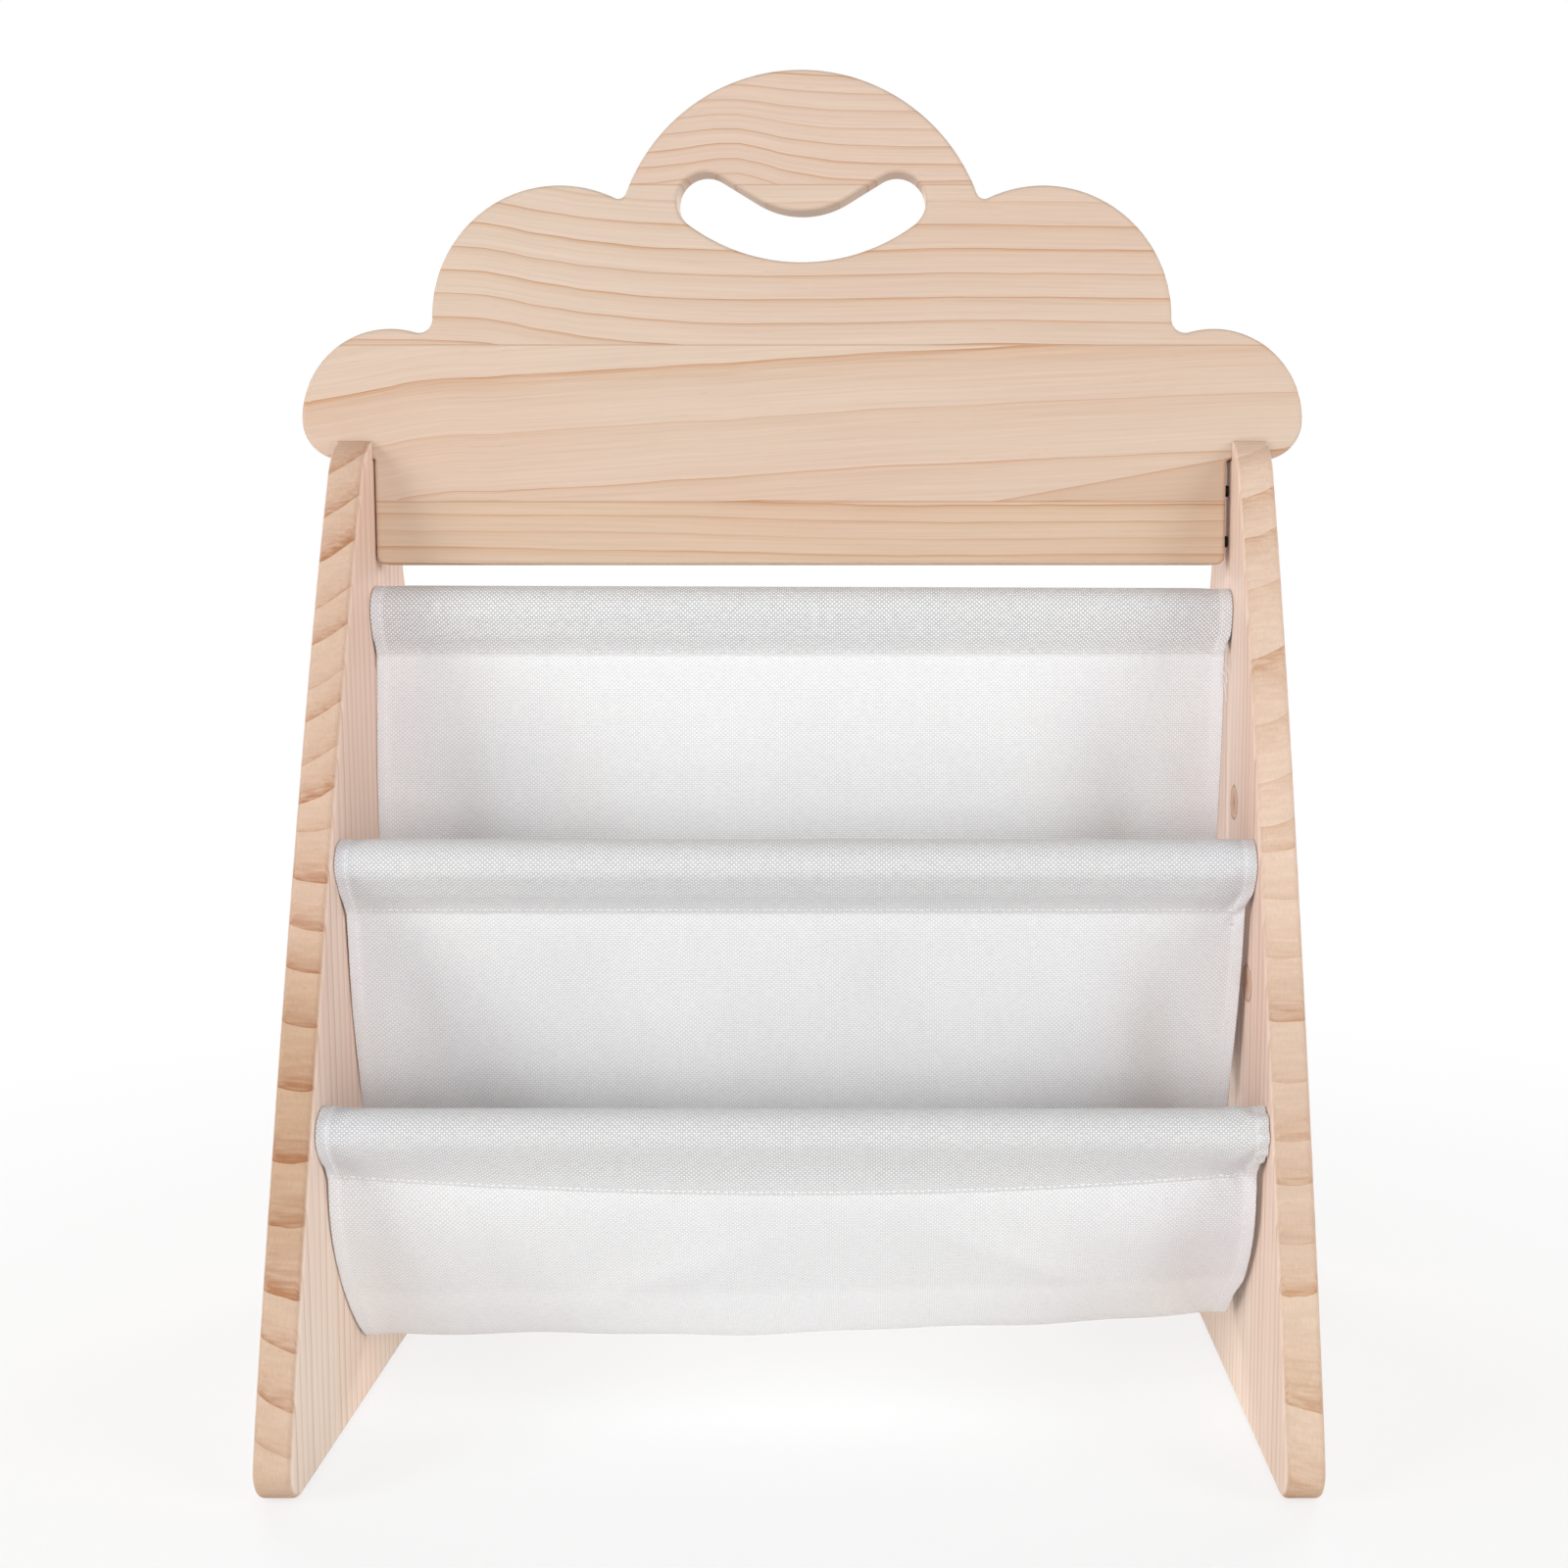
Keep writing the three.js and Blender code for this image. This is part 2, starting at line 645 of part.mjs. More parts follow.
const group = new THREE.Group();
group.add(wooden("cloud_header", headerGeometry()));
group.add(woven("rear_canvas", rearCanvasGeometry()));
group.add(woven("front_canvas", frontCanvasGeometry()));

for (const dowel of dowels) {
  const rod = wooden(`${dowel.name}_dowel`, dowelGeometry());
  rod.position.set(0, dowel.y, dowel.z);
  group.add(rod);
}

// Each side is a group at the middle of the stand; the left one's hardware is turned to face out
for (const side of [-1, 1]) {
  const word = side < 0 ? "left" : "right";
  const turn = side < 0 ? Math.PI : 0;
  const panel = wooden(`side_panel_${word}`, sidePanelGeometry());
  panel.position.x = side * (innerFace + boardThickness / 2);
  group.add(panel);

  for (const dowel of dowels) {
    const bolt = blackened(`${dowel.name}_dowel_bolt_${word}`, boltGeometry(dowelBoltLength));
    bolt.position.set(side * (outerFace + seatGap), dowel.y, dowel.z);
    bolt.rotation.z = turn;
    const sleeve = zinced(`${dowel.name}_dowel_sleeve_${word}`, sleeveGeometry());
    sleeve.position.set(side * (innerFace - seatGap), dowel.y, dowel.z);
    sleeve.rotation.z = turn;
    group.add(bolt, sleeve);
  }

  headerBoltHeights.forEach((height, i) => {
    const level = i === 0 ? "lower" : "upper";
    const bolt = blackened(`header_bolt_${level}_${word}`, boltGeometry(headerBoltLength));
    bolt.position.set(side * (outerFace + seatGap), 0, height);
    bolt.rotation.z = turn;
    const nut = zinced(`barrel_nut_${level}_${word}`, barrelNutGeometry());
    nut.position.set(side * (outerFace - barrelInset), barrelY, height);
    group.add(bolt, nut);
  });
}

export default group;
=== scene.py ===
import math

import bpy
import numpy as np
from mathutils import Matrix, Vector
from mathutils.geometry import tessellate_polygon


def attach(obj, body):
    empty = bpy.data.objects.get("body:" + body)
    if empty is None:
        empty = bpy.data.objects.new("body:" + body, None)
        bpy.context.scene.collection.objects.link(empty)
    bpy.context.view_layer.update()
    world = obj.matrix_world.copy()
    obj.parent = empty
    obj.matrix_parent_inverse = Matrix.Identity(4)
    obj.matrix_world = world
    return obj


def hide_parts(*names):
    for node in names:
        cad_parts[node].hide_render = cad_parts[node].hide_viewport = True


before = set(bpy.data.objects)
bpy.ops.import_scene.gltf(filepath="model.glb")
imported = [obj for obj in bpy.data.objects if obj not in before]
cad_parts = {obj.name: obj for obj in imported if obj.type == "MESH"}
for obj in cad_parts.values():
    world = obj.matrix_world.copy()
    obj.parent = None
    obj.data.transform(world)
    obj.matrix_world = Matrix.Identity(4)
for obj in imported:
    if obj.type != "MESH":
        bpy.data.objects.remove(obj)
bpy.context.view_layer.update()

# Side panels. Two A-shaped boards of edge-glued pine, 18 mm thick, sawn with a slot in the top
# for the header. Their edges are rounded over with a 3 mm cutter, sanded and left pale. Bolts
# through the boards hold the dowels and the header.

MM = 0.001
BOARD = 18.0
INNER_FACE = 220.0
PANEL_HEIGHT = 485.5
FOOT_HALF_DEPTH = 178.0
FOOT_CORNER = 16.0
APEX_RADIUS = 31.0
SLOT_FLOOR = 474.2
SLOT_HALF_WIDTH = 9.3
SLOT_LIP = 0.8
SLOT_CORNER = 0.4
ANKLE_RISE = 14.0
LEAN_DEPTH_SHARE = 0.504
LEAN_HEIGHT_SHARE = 0.6776
PANEL_ROUNDING = 3.0
RIM_SPAN = 500.0
RING_STEP = 20.0
WOOD_RELIEF = 0.0002


def arc(centre, radius, start, end, spacing=0.9):
    """Points of a circle: the centre plus the radius times the cosine and sine of an angle
    that runs evenly from start to end."""
    count = max(6, math.ceil(abs(end - start) * radius / spacing) + 1)
    angle = np.linspace(start, end, count)
    return np.column_stack((centre[0] + radius * np.cos(angle), centre[1] + radius * np.sin(angle)))


def bezier(first, pull, lean, last, count):
    """Cubic curve: each of the four points times its share, (1-t) cubed, 3t(1-t) squared,
    3t squared (1-t) and t cubed, added up for t from nought to one."""
    t = np.linspace(0, 1, count)[:, None]
    first, pull, lean, last = (np.array(p, float) for p in (first, pull, lean, last))
    return (1 - t) ** 3 * first + 3 * t * (1 - t) ** 2 * pull + 3 * t**2 * (1 - t) * lean + t**3 * last


def corner(place, arriving, leaving, radius):
    """Points of the small circle that touches both lines at a corner: its centre lies one
    radius to the inner side of the arriving line, the radius times the tangent of half the
    turn before the corner."""
    arriving, leaving = np.array(arriving), np.array(leaving)
    turn = math.atan2(arriving[0] * leaving[1] - arriving[1] * leaving[0], arriving @ leaving)
    side = math.copysign(1, turn)
    inward = side * np.array((-arriving[1], arriving[0]))
    begin = np.array(place) - arriving * radius * math.tan(abs(turn) / 2)
    centre = begin + inward * radius
    start = math.atan2(*(begin - centre)[::-1])
    return arc(centre, radius, start, start + turn, radius / 4)


def panel_outline():
    """Half the outline goes round the foot's corner, up the slanted edge, over the round top and
    down into the slot. The other half is its mirror image."""
    half = FOOT_HALF_DEPTH
    apex = np.array((0, PANEL_HEIGHT - APEX_RADIUS))
    lean = np.array((LEAN_DEPTH_SHARE * half, LEAN_HEIGHT_SHARE * PANEL_HEIGHT))
    towards = lean - apex
    touch = math.atan2(towards[1], towards[0]) + math.acos(APEX_RADIUS / np.hypot(*towards))
    tip_angle = math.acos(SLOT_HALF_WIDTH / APEX_RADIUS)
    tip = apex + APEX_RADIUS * np.array((math.cos(tip_angle), math.sin(tip_angle)))
    over = arc(apex, APEX_RADIUS, touch, tip_angle - 0.036)
    slanted = bezier((half, FOOT_CORNER), (half, FOOT_CORNER + ANKLE_RISE), lean, over[0], 330)
    rise = (-math.sin(tip_angle), math.cos(tip_angle))
    halves = (
        arc((half - FOOT_CORNER, FOOT_CORNER), FOOT_CORNER, -math.pi / 2, 0),
        slanted[1:],
        over[1:],
        corner(tip, rise, (0, -1), SLOT_LIP),
        corner((SLOT_HALF_WIDTH, SLOT_FLOOR), (0, -1), (-1, 0), SLOT_CORNER),
    )
    edge = np.concatenate(halves)
    return np.concatenate((edge, edge[::-1] * (-1, 1)))


def outward(outline):
    """At each point the mean of the directions of the two sides that meet there, turned a
    quarter right, and longer at a corner so that both sides move by the same amount."""
    side = np.roll(outline, -1, axis=0) - outline
    side /= np.linalg.norm(side, axis=1, keepdims=True)
    mean = side + np.roll(side, 1, axis=0)
    mean /= np.linalg.norm(mean, axis=1, keepdims=True)
    stretch = np.maximum((mean * side).sum(axis=1), 0.5)
    return np.column_stack((mean[:, 1], -mean[:, 0])) / stretch[:, None]


def rim(outline, thickness, rounding):
    """Grid of points round an outline: a flat border, a quarter circle that goes in by
    radius (1 - sine) and down by radius (1 - cosine), the straight edge, and the same again
    below. It also gives how much of the edge each point belongs to, from nought to one."""
    rounding = np.broadcast_to(rounding, len(outline))[:, None]
    angle = np.linspace(0, math.pi / 2, 7)
    border = 1 + 0.5 * np.array((1.0,) + (0.0,) * 7)
    angle = np.concatenate(((0,), angle))
    inset = rounding * (1 - np.sin(angle)) * border
    drop = rounding * (1 - np.cos(angle))
    inset = np.concatenate((inset, inset[:, ::-1]), axis=1)
    depth = np.concatenate((thickness / 2 - drop, drop[:, ::-1] - thickness / 2), axis=1)
    flat = outline[:, None, :] - outward(outline)[:, None, :] * inset[:, :, None]
    share = np.tile(np.concatenate((np.sin(angle), np.sin(angle)[::-1])), (len(outline), 1))
    return np.concatenate((flat, depth[:, :, None]), axis=2), share


def grid_faces(rows, columns, start=0, closed_rows=False, closed_columns=False):
    """Four-sided faces between neighbouring rows and columns of a grid of points."""
    i = np.arange(rows if closed_rows else rows - 1)[:, None]
    j = np.arange(columns if closed_columns else columns - 1)[None, :]
    after_i, after_j = (i + 1) % rows, (j + 1) % columns
    corners = (i * columns + j, i * columns + after_j, after_i * columns + after_j, after_i * columns + j)
    return np.stack([c + 0 * i + 0 * j for c in corners], axis=-1).reshape(-1, 4) + start


def fill(loops, starts, facing):
    """Triangles between an outline and the holes in it, all turned to face the same way."""
    points = np.concatenate(loops)
    index = np.concatenate([s + np.arange(len(l)) * k for l, (s, k) in zip(loops, starts)])
    flat = [[Vector((x, y, 0)) for x, y in loop] for loop in loops]
    found = np.array(tessellate_polygon(flat))
    a, b, c = (points[found[:, n]] for n in range(3))
    turn = (b[:, 0] - a[:, 0]) * (c[:, 1] - a[:, 1]) - (b[:, 1] - a[:, 1]) * (c[:, 0] - a[:, 0])
    found = found[np.abs(turn) > 1e-9]
    turn = turn[np.abs(turn) > 1e-9]
    found = np.where((turn * facing > 0)[:, None], found, found[:, ::-1])
    return index[found]


def new_piece(name, points, face_sets, material, uv=None, marks=None):
    """Puts whole arrays of points and faces into a mesh object at the origin."""
    mesh = bpy.data.meshes.new(name)
    faces = [face for faces in face_sets for face in faces.tolist()]
    mesh.from_pydata((points * MM).tolist(), [], faces)
    mesh.polygons.foreach_set("use_smooth", np.ones(len(mesh.polygons), bool))
    corner_point = np.empty(len(mesh.loops), int)
    mesh.loops.foreach_get("vertex_index", corner_point)
    if uv is not None:
        mesh.uv_layers.new(name="cloth").uv.foreach_set("vector", uv[corner_point].ravel())
    for key, values in (marks or {}).items():
        mesh.attributes.new(key, "FLOAT", "POINT").data.foreach_set("value", values.astype(np.float32))
    mesh.materials.append(material)
    mesh.update()
    piece = bpy.data.objects.new(name, mesh)
    bpy.context.scene.collection.objects.link(piece)
    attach(piece, "root")
    return piece


def even_shading(piece):
    shading = piece.modifiers.new("even_shading", "WEIGHTED_NORMAL")
    shading.mode = "FACE_AREA"
    shading.weight = 80


def board(name, outline, holes, pockets, thickness, rounding, axes, place, material):
    """A flat board: the rims of the outline and of its holes, and both faces between them. A
    pocket is a round blind hole in the lower face: a wall that goes straight in, and a floor."""
    points, shares, face_sets = [], [], []
    tops, bottoms, starts = [], [], []
    count = 0
    for loop, radius in [(outline, rounding)] + holes:
        grid, share = rim(loop, thickness, radius)
        rows, columns = share.shape
        face_sets.append(grid_faces(rows, columns, count, closed_rows=True))
        tops.append(grid[:, 0, :2])
        bottoms.append(grid[:, -1, :2])
        starts.append((count, columns))
        points.append(grid.reshape(-1, 3))
        shares.append(share.ravel())
        count += rows * columns
    face_sets.append(fill(tops, starts, 1))
    lower_starts = [(s + k - 1, k) for s, k in starts]
    for centre, radius, depth in pockets:
        ring = arc(centre, radius, 0, -2 * math.pi, 0.5)[:-1]
        wide = arc(centre, radius + 0.3, 0, -2 * math.pi, 0.5)[: len(ring)]
        level = np.full((len(ring), 1), -thickness / 2)
        steps = [np.hstack((wide, level)), np.hstack((ring, level + 0.3)), np.hstack((ring, level + depth))]
        grid = np.stack(steps, axis=1)
        face_sets.append(grid_faces(len(ring), 3, count, closed_rows=True)[:, ::-1])
        bottoms.append(wide)
        lower_starts.append((count, 3))
        face_sets.append(fill([ring], [(count + 2, 3)], -1))
        points.append(grid.reshape(-1, 3))
        shares.append(np.zeros(grid.size // 3))
        count += grid.size // 3
    face_sets.append(fill(bottoms, lower_starts, -1))
    solid = np.concatenate(points) @ np.array(axes, float) + np.array(place)
    piece = new_piece(name, solid, face_sets, material, marks={"edge": np.concatenate(shares)})
    even_shading(piece)
    return piece


def lit(red, green, blue):
    """Colour of a screen value from 0 to 255, by the screen's own curve."""
    part = np.array((red, green, blue)) / 255
    line = np.where(part <= 0.04045, part / 12.92, ((part + 0.055) / 1.055) ** 2.4)
    return (*line.tolist(), 1.0)


def step(tree, kind, *links, **settings):
    """Adds a node, sets its settings and joins or fills its inputs in order."""
    node = tree.nodes.new(kind)
    for key, value in settings.items():
        setattr(node, key, value)
    for place, value in enumerate(links):
        if value is None:
            continue
        socket = node.inputs[place]
        if isinstance(value, bpy.types.NodeSocket):
            tree.links.new(value, socket)
        else:
            socket.default_value = value
    return node


def maths(tree, operation, *values):
    return step(tree, "ShaderNodeMath", *values, operation=operation).outputs[0]


def stretched(tree, vector, scale, offset=(0, 0, 0)):
    node = step(tree, "ShaderNodeMapping", vector, offset, (0, 0, 0), scale)
    return node.outputs[0]


def ramp(tree, value, stops, interpolation="LINEAR"):
    node = step(tree, "ShaderNodeValToRGB", value)
    band = node.color_ramp
    band.interpolation = interpolation
    band.elements[-1].position = stops[-1][0]
    band.elements[0].position = stops[0][0]
    for position, _ in stops[1:-1]:
        band.elements.new(position)
    for element, (_, tone) in zip(band.elements, stops):
        element.color = tone if isinstance(tone, tuple) else (tone, tone, tone, 1)
    return node.outputs[0]


def blend(tree, share, first, second, kind="RGBA", mode="MIX"):
    node = tree.nodes.new("ShaderNodeMix")
    node.data_type = kind
    if kind == "RGBA":
        node.blend_type = mode
    names = {"RGBA": (0, 6, 7, 2), "FLOAT": (0, 2, 3, 0)}[kind]
    for place, value in zip(names[:3], (share, first, second)):
        if isinstance(value, bpy.types.NodeSocket):
            tree.links.new(value, node.inputs[place])
        else:
            node.inputs[place].default_value = value
    return node.outputs[names[3]]


def tinted(tree, colour, tint):
    return blend(tree, 1.0, colour, tint, mode="MULTIPLY")


def new_group(name, inputs, outputs):
    group = bpy.data.node_groups.new(name, "ShaderNodeTree")
    for label, kind, value in inputs:
        socket = group.interface.new_socket(label, in_out="INPUT", socket_type=kind)
        if value is not None:
            socket.default_value = value
    for label, kind in outputs:
        group.interface.new_socket(label, in_out="OUTPUT", socket_type=kind)
    return group, group.nodes.new("NodeGroupInput").outputs, group.nodes.new("NodeGroupOutput").inputs


# Growth rings, fibres and resin canals of pine. Across is the way through the rings in
# millimetres, and Fibre the place with X along the fibres, also in millimetres. Each ring ends
# in a thin dark line, and its colour fades away from that line over the fade length.
pine, given, result = new_group(
    "pine_grain",
    [
        ("Across", "NodeSocketFloat", 0.0),
        ("Fibre", "NodeSocketVector", None),
        ("Ring Pitch", "NodeSocketFloat", 9.0),
        ("Drift", "NodeSocketFloat", 3.0),
        ("Line", "NodeSocketFloat", 0.8),
        ("Fade", "NodeSocketFloat", 0.4),
        ("Fade Length", "NodeSocketFloat", 3.5),
        ("Seed", "NodeSocketFloat", 0.0),
        ("Pale", "NodeSocketColor", lit(205, 186, 169)),
        ("Tan", "NodeSocketColor", lit(176, 128, 90)),
        ("Blush", "NodeSocketColor", lit(204, 180, 162)),
    ],
    [("Color", "NodeSocketColor"), ("Roughness", "NodeSocketFloat"), ("Height", "NodeSocketFloat")],
)


def noise(tree, vector, detail=2.0, roughness=0.5):
    return step(tree, "ShaderNodeTexNoise", vector, None, 1.0, detail, roughness).outputs[0]


wave = noise(pine, stretched(pine, given["Fibre"], (0.006, 0.022, 0.022)), 1.5)
drift = maths(pine, "MULTIPLY", given["Drift"], 2.0)
wave = maths(pine, "MULTIPLY", maths(pine, "SUBTRACT", wave, 0.5), drift)
ripple = noise(pine, stretched(pine, given["Fibre"], (0.03, 0.12, 0.12)), 1.0)
ripple = maths(pine, "MULTIPLY", maths(pine, "SUBTRACT", ripple, 0.5), 1.2)
level = maths(pine, "ADD", given["Across"], maths(pine, "ADD", wave, ripple))
phase = maths(pine, "DIVIDE", level, given["Ring Pitch"])
count = maths(pine, "ADD", maths(pine, "FLOOR", phase), given["Seed"])
chance = step(pine, "ShaderNodeTexWhiteNoise", None, count, noise_dimensions="1D").outputs
below = maths(pine, "SUBTRACT", 1.0, maths(pine, "FRACT", phase))
below = maths(pine, "MULTIPLY", below, given["Ring Pitch"])
line = maths(pine, "EXPONENT", maths(pine, "MULTIPLY", below, -1.5))
line_chance = maths(pine, "MULTIPLY_ADD", chance[0], 0.65, 0.35)
line = maths(pine, "MULTIPLY", maths(pine, "MULTIPLY", line, given["Line"]), line_chance)
fade = maths(pine, "DIVIDE", maths(pine, "MULTIPLY", below, -1.0), given["Fade Length"])
fade = maths(pine, "EXPONENT", fade)
second = step(pine, "ShaderNodeSeparateColor", chance[1]).outputs[1]
fade_chance = maths(pine, "MULTIPLY_ADD", second, 0.8, 0.2)
fade = maths(pine, "MULTIPLY", maths(pine, "MULTIPLY", fade, given["Fade"]), fade_chance)
streak = noise(pine, stretched(pine, given["Fibre"], (0.012, 0.75, 0.75)), 4.0, 0.6)
thread = noise(pine, stretched(pine, given["Fibre"], (0.02, 1.6, 1.6)), 1.0)
fade = maths(pine, "MULTIPLY", fade, ramp(pine, thread, [(0.3, 0.55), (0.7, 1.3)]))
late = maths(pine, "MINIMUM", maths(pine, "ADD", line, fade), 1.0)
tone = noise(pine, stretched(pine, given["Fibre"], (0.004, 0.014, 0.014)))
tone = ramp(pine, tone, [(0.35, 0.0), (0.68, 1.0)])
dash = noise(pine, stretched(pine, given["Fibre"], (0.09, 1.3, 1.3)), 1.0)
dash = ramp(pine, dash, [(0.7, 0.0), (0.78, 1.0)])
colour = blend(pine, tone, given["Pale"], given["Blush"])
colour = blend(pine, late, colour, given["Tan"])
fibres = ramp(pine, streak, [(0.28, (0.93, 0.915, 0.9, 1)), (0.72, (1.045, 1.05, 1.05, 1))])
colour = tinted(pine, colour, fibres)
colour = blend(pine, maths(pine, "MULTIPLY", dash, 0.2), colour, given["Tan"])
pine.links.new(colour, result["Color"])
rough = maths(pine, "MULTIPLY_ADD", streak, 0.2, 0.44)
pine.links.new(maths(pine, "SUBTRACT", rough, maths(pine, "MULTIPLY", late, 0.08)), result["Roughness"])
height = maths(pine, "MULTIPLY_ADD", streak, 0.7, maths(pine, "MULTIPLY", late, 0.12))
pine.links.new(maths(pine, "SUBTRACT", height, maths(pine, "MULTIPLY", dash, 0.3)), result["Height"])


def new_material(name):
    material = bpy.data.materials.new(name)
    material.use_nodes = True
    tree = material.node_tree
    shader = tree.nodes["Principled BSDF"]
    return material, tree, shader


def place_in_mm(tree):
    here = step(tree, "ShaderNodeTexCoord").outputs["Object"]
    inside = step(tree, "ShaderNodeVectorMath", here, operation="SCALE")
    inside.inputs["Scale"].default_value = 1000
    split = step(tree, "ShaderNodeSeparateXYZ", inside.outputs[0]).outputs
    return split[0], split[1], split[2]


def joined(tree, x, y, z):
    return step(tree, "ShaderNodeCombineXYZ", x, y, z).outputs[0]


def use_group(tree, group, **values):
    node = tree.nodes.new("ShaderNodeGroup")
    node.node_tree = group
    for label, value in values.items():
        socket = node.inputs[label.replace("_", " ")]
        if isinstance(value, bpy.types.NodeSocket):
            tree.links.new(value, socket)
        else:
            socket.default_value = value
    return node.outputs


def finish_wood(tree, shader, colour, roughness, height):
    bump = step(tree, "ShaderNodeBump")
    bump.inputs["Strength"].default_value = 0.5
    bump.inputs["Distance"].default_value = WOOD_RELIEF
    tree.links.new(height, bump.inputs["Height"])
    tree.links.new(colour, shader.inputs["Base Color"])
    tree.links.new(roughness, shader.inputs["Roughness"])
    tree.links.new(bump.outputs[0], shader.inputs["Normal"])
    shader.inputs["Specular IOR Level"].default_value = 0.3


def curve_over(tree, value, low, high, points, reach):
    """A smooth curve through points (place, height), for heights between minus and plus reach."""
    share = step(tree, "ShaderNodeMapRange", value, low, high, 0.0, 1.0).outputs[0]
    stops = [((place - low) / (high - low), 0.5 + height / (2 * reach)) for place, height in points]
    drawn = ramp(tree, share, stops, "CARDINAL")
    return maths(tree, "MULTIPLY", maths(tree, "SUBTRACT", drawn, 0.5), 2.0 * reach)


def knot(tree, colour, shown, across, along, size):
    """An oval knot: the distance from its middle over its size, made uneven by noise, sets a thin
    dark rim, a tan inside and a small dark pith."""
    uneven = noise(tree, stretched(tree, joined(tree, across, along, 0.0), (0.22, 0.16, 0.2)), 3.0)
    swell = maths(tree, "MULTIPLY_ADD", uneven, 0.5, 0.75)
    u = maths(tree, "DIVIDE", across, maths(tree, "MULTIPLY", swell, size[0]))
    v = maths(tree, "DIVIDE", along, maths(tree, "MULTIPLY", swell, size[1]))
    squares = maths(tree, "ADD", maths(tree, "MULTIPLY", u, u), maths(tree, "MULTIPLY", v, v))
    distance = maths(tree, "SQRT", squares)
    inside = ramp(tree, distance, [(0.0, 0.9), (0.8, 0.6), (0.92, 0.9), (1.0, 0.0)])
    inside = maths(tree, "MULTIPLY", inside, shown)
    tones = [
        (0.0, lit(150, 104, 78)),
        (0.14, lit(196, 146, 112)),
        (0.8, lit(214, 170, 138)),
        (0.92, lit(158, 110, 80)),
        (1.0, lit(190, 142, 110)),
    ]
    return blend(tree, inside, colour, ramp(tree, distance, tones))


def panel_material(name, middle, seed, slants, rings, pale, tan, bands, low_tone, knots):
    """Upright grain on the faces, and broad rings across the rounded edges. The rings of an edge
    stand at the given heights, counted along the growth, and lean by the curve of slants."""
    material, tree, shader = new_material(name)
    x, y, z = place_in_mm(tree)
    # Painted light: the face colours are lighter than the wood itself, to make up for the shade on the inner
    # faces between the panels.
    face = use_group(
        tree,
        pine,
        Across=maths(tree, "ADD", y, maths(tree, "MULTIPLY", z, 0.015)),
        Fibre=joined(tree, z, y, maths(tree, "ADD", x, seed)),
        Ring_Pitch=8.5,
        Drift=5.0,
        Line=0.6,
        Fade=0.7,
        Fade_Length=2.6,
        Seed=seed,
        Pale=lit(243, 219, 204),
        Tan=lit(208, 158, 128),
        Blush=lit(242, 209, 192),
    )
    height_share = maths(tree, "DIVIDE", z, RIM_SPAN)
    # Painted light: the faces are lighter and less pink low down, towards the foot, as if lit from the floor
    # below.
    foot = ramp(tree, height_share, [(0.1, (0.99, 1.06, 1.06, 1)), (0.42, (1, 1, 1, 1))])
    grained = tinted(tree, face["Color"], foot)
    inner_half = maths(tree, "LESS_THAN", x, middle)
    for place, height, size in knots:
        across, along = maths(tree, "SUBTRACT", y, place), maths(tree, "SUBTRACT", z, height)
        grained = knot(tree, grained, inner_half, across, along, size)
    aside = maths(tree, "SUBTRACT", x, middle)
    # The outer half of each board is toned back down to the wood's own colour, without the painted light of
    # the inner faces.
    outer_half = maths(tree, "GREATER_THAN", maths(tree, "ABSOLUTE", x), abs(middle))
    grained = blend(tree, outer_half, grained, tinted(tree, grained, (0.88, 0.87, 0.86, 1)))
    lean = curve_over(tree, z, 0.0, RIM_SPAN, slants, 1.0)
    arch = maths(tree, "MULTIPLY", maths(tree, "MULTIPLY", aside, aside), -0.012)
    level = maths(tree, "ADD", maths(tree, "SUBTRACT", z, maths(tree, "MULTIPLY", lean, aside)), arch)
    most = max(count for _, count in rings)
    stops = [(place / RIM_SPAN, count / most) for place, count in rings]
    grown = ramp(tree, maths(tree, "DIVIDE", level, RIM_SPAN), stops)
    wide, squeezed = maths(tree, "MULTIPLY", aside, 3.0), maths(tree, "MULTIPLY_ADD", level, 0.22, seed)
    edge = use_group(
        tree,
        pine,
        Across=maths(tree, "MULTIPLY", grown, RING_STEP * most),
        Fibre=joined(tree, wide, squeezed, y),
        Ring_Pitch=RING_STEP,
        Drift=3.0,
        Line=bands[0],
        Fade=bands[1],
        Fade_Length=bands[2],
        Seed=seed,
        Pale=pale,
        Tan=tan,
        Blush=pale,
    )
    pores = joined(tree, maths(tree, "MULTIPLY", x, 1.5), y, maths(tree, "MULTIPLY", z, 0.18))
    pores = noise(tree, pores, 3.0, 0.6)
    pores = ramp(tree, pores, [(0.3, (0.945, 0.93, 0.915, 1)), (0.65, (1.025, 1.025, 1.025, 1))])
    ended = tinted(tree, edge["Color"], pores)
    low_stops = [(0.19, (0.97, 0.98, 0.96, 1)), (0.23, low_tone), (0.42, low_tone), (0.52, (1, 1, 1, 1))]
    ended = tinted(tree, ended, ramp(tree, height_share, low_stops))
    share = step(tree, "ShaderNodeAttribute", attribute_name="edge").outputs["Fac"]
    share = ramp(tree, share, [(0.4, 0.0), (0.8, 1.0)])
    colour = blend(tree, share, grained, ended)
    roughness = blend(tree, share, face["Roughness"], edge["Roughness"], kind="FLOAT")
    height = blend(tree, share, face["Height"], edge["Height"], kind="FLOAT")
    finish_wood(tree, shader, colour, roughness, height)
    return material


outline = panel_outline()
wall_gap = np.abs(np.abs(outline[:, 0]) - SLOT_HALF_WIDTH)
near_slot = (outline[:, 1] > SLOT_FLOOR - 1) & (np.abs(outline[:, 0]) < SLOT_HALF_WIDTH + 3.6)
slot_rounding = np.clip(SLOT_CORNER + (wall_gap - 1.1) * 1.1, SLOT_CORNER, PANEL_ROUNDING)
panel_rounding = np.where(near_slot, slot_rounding, PANEL_ROUNDING)
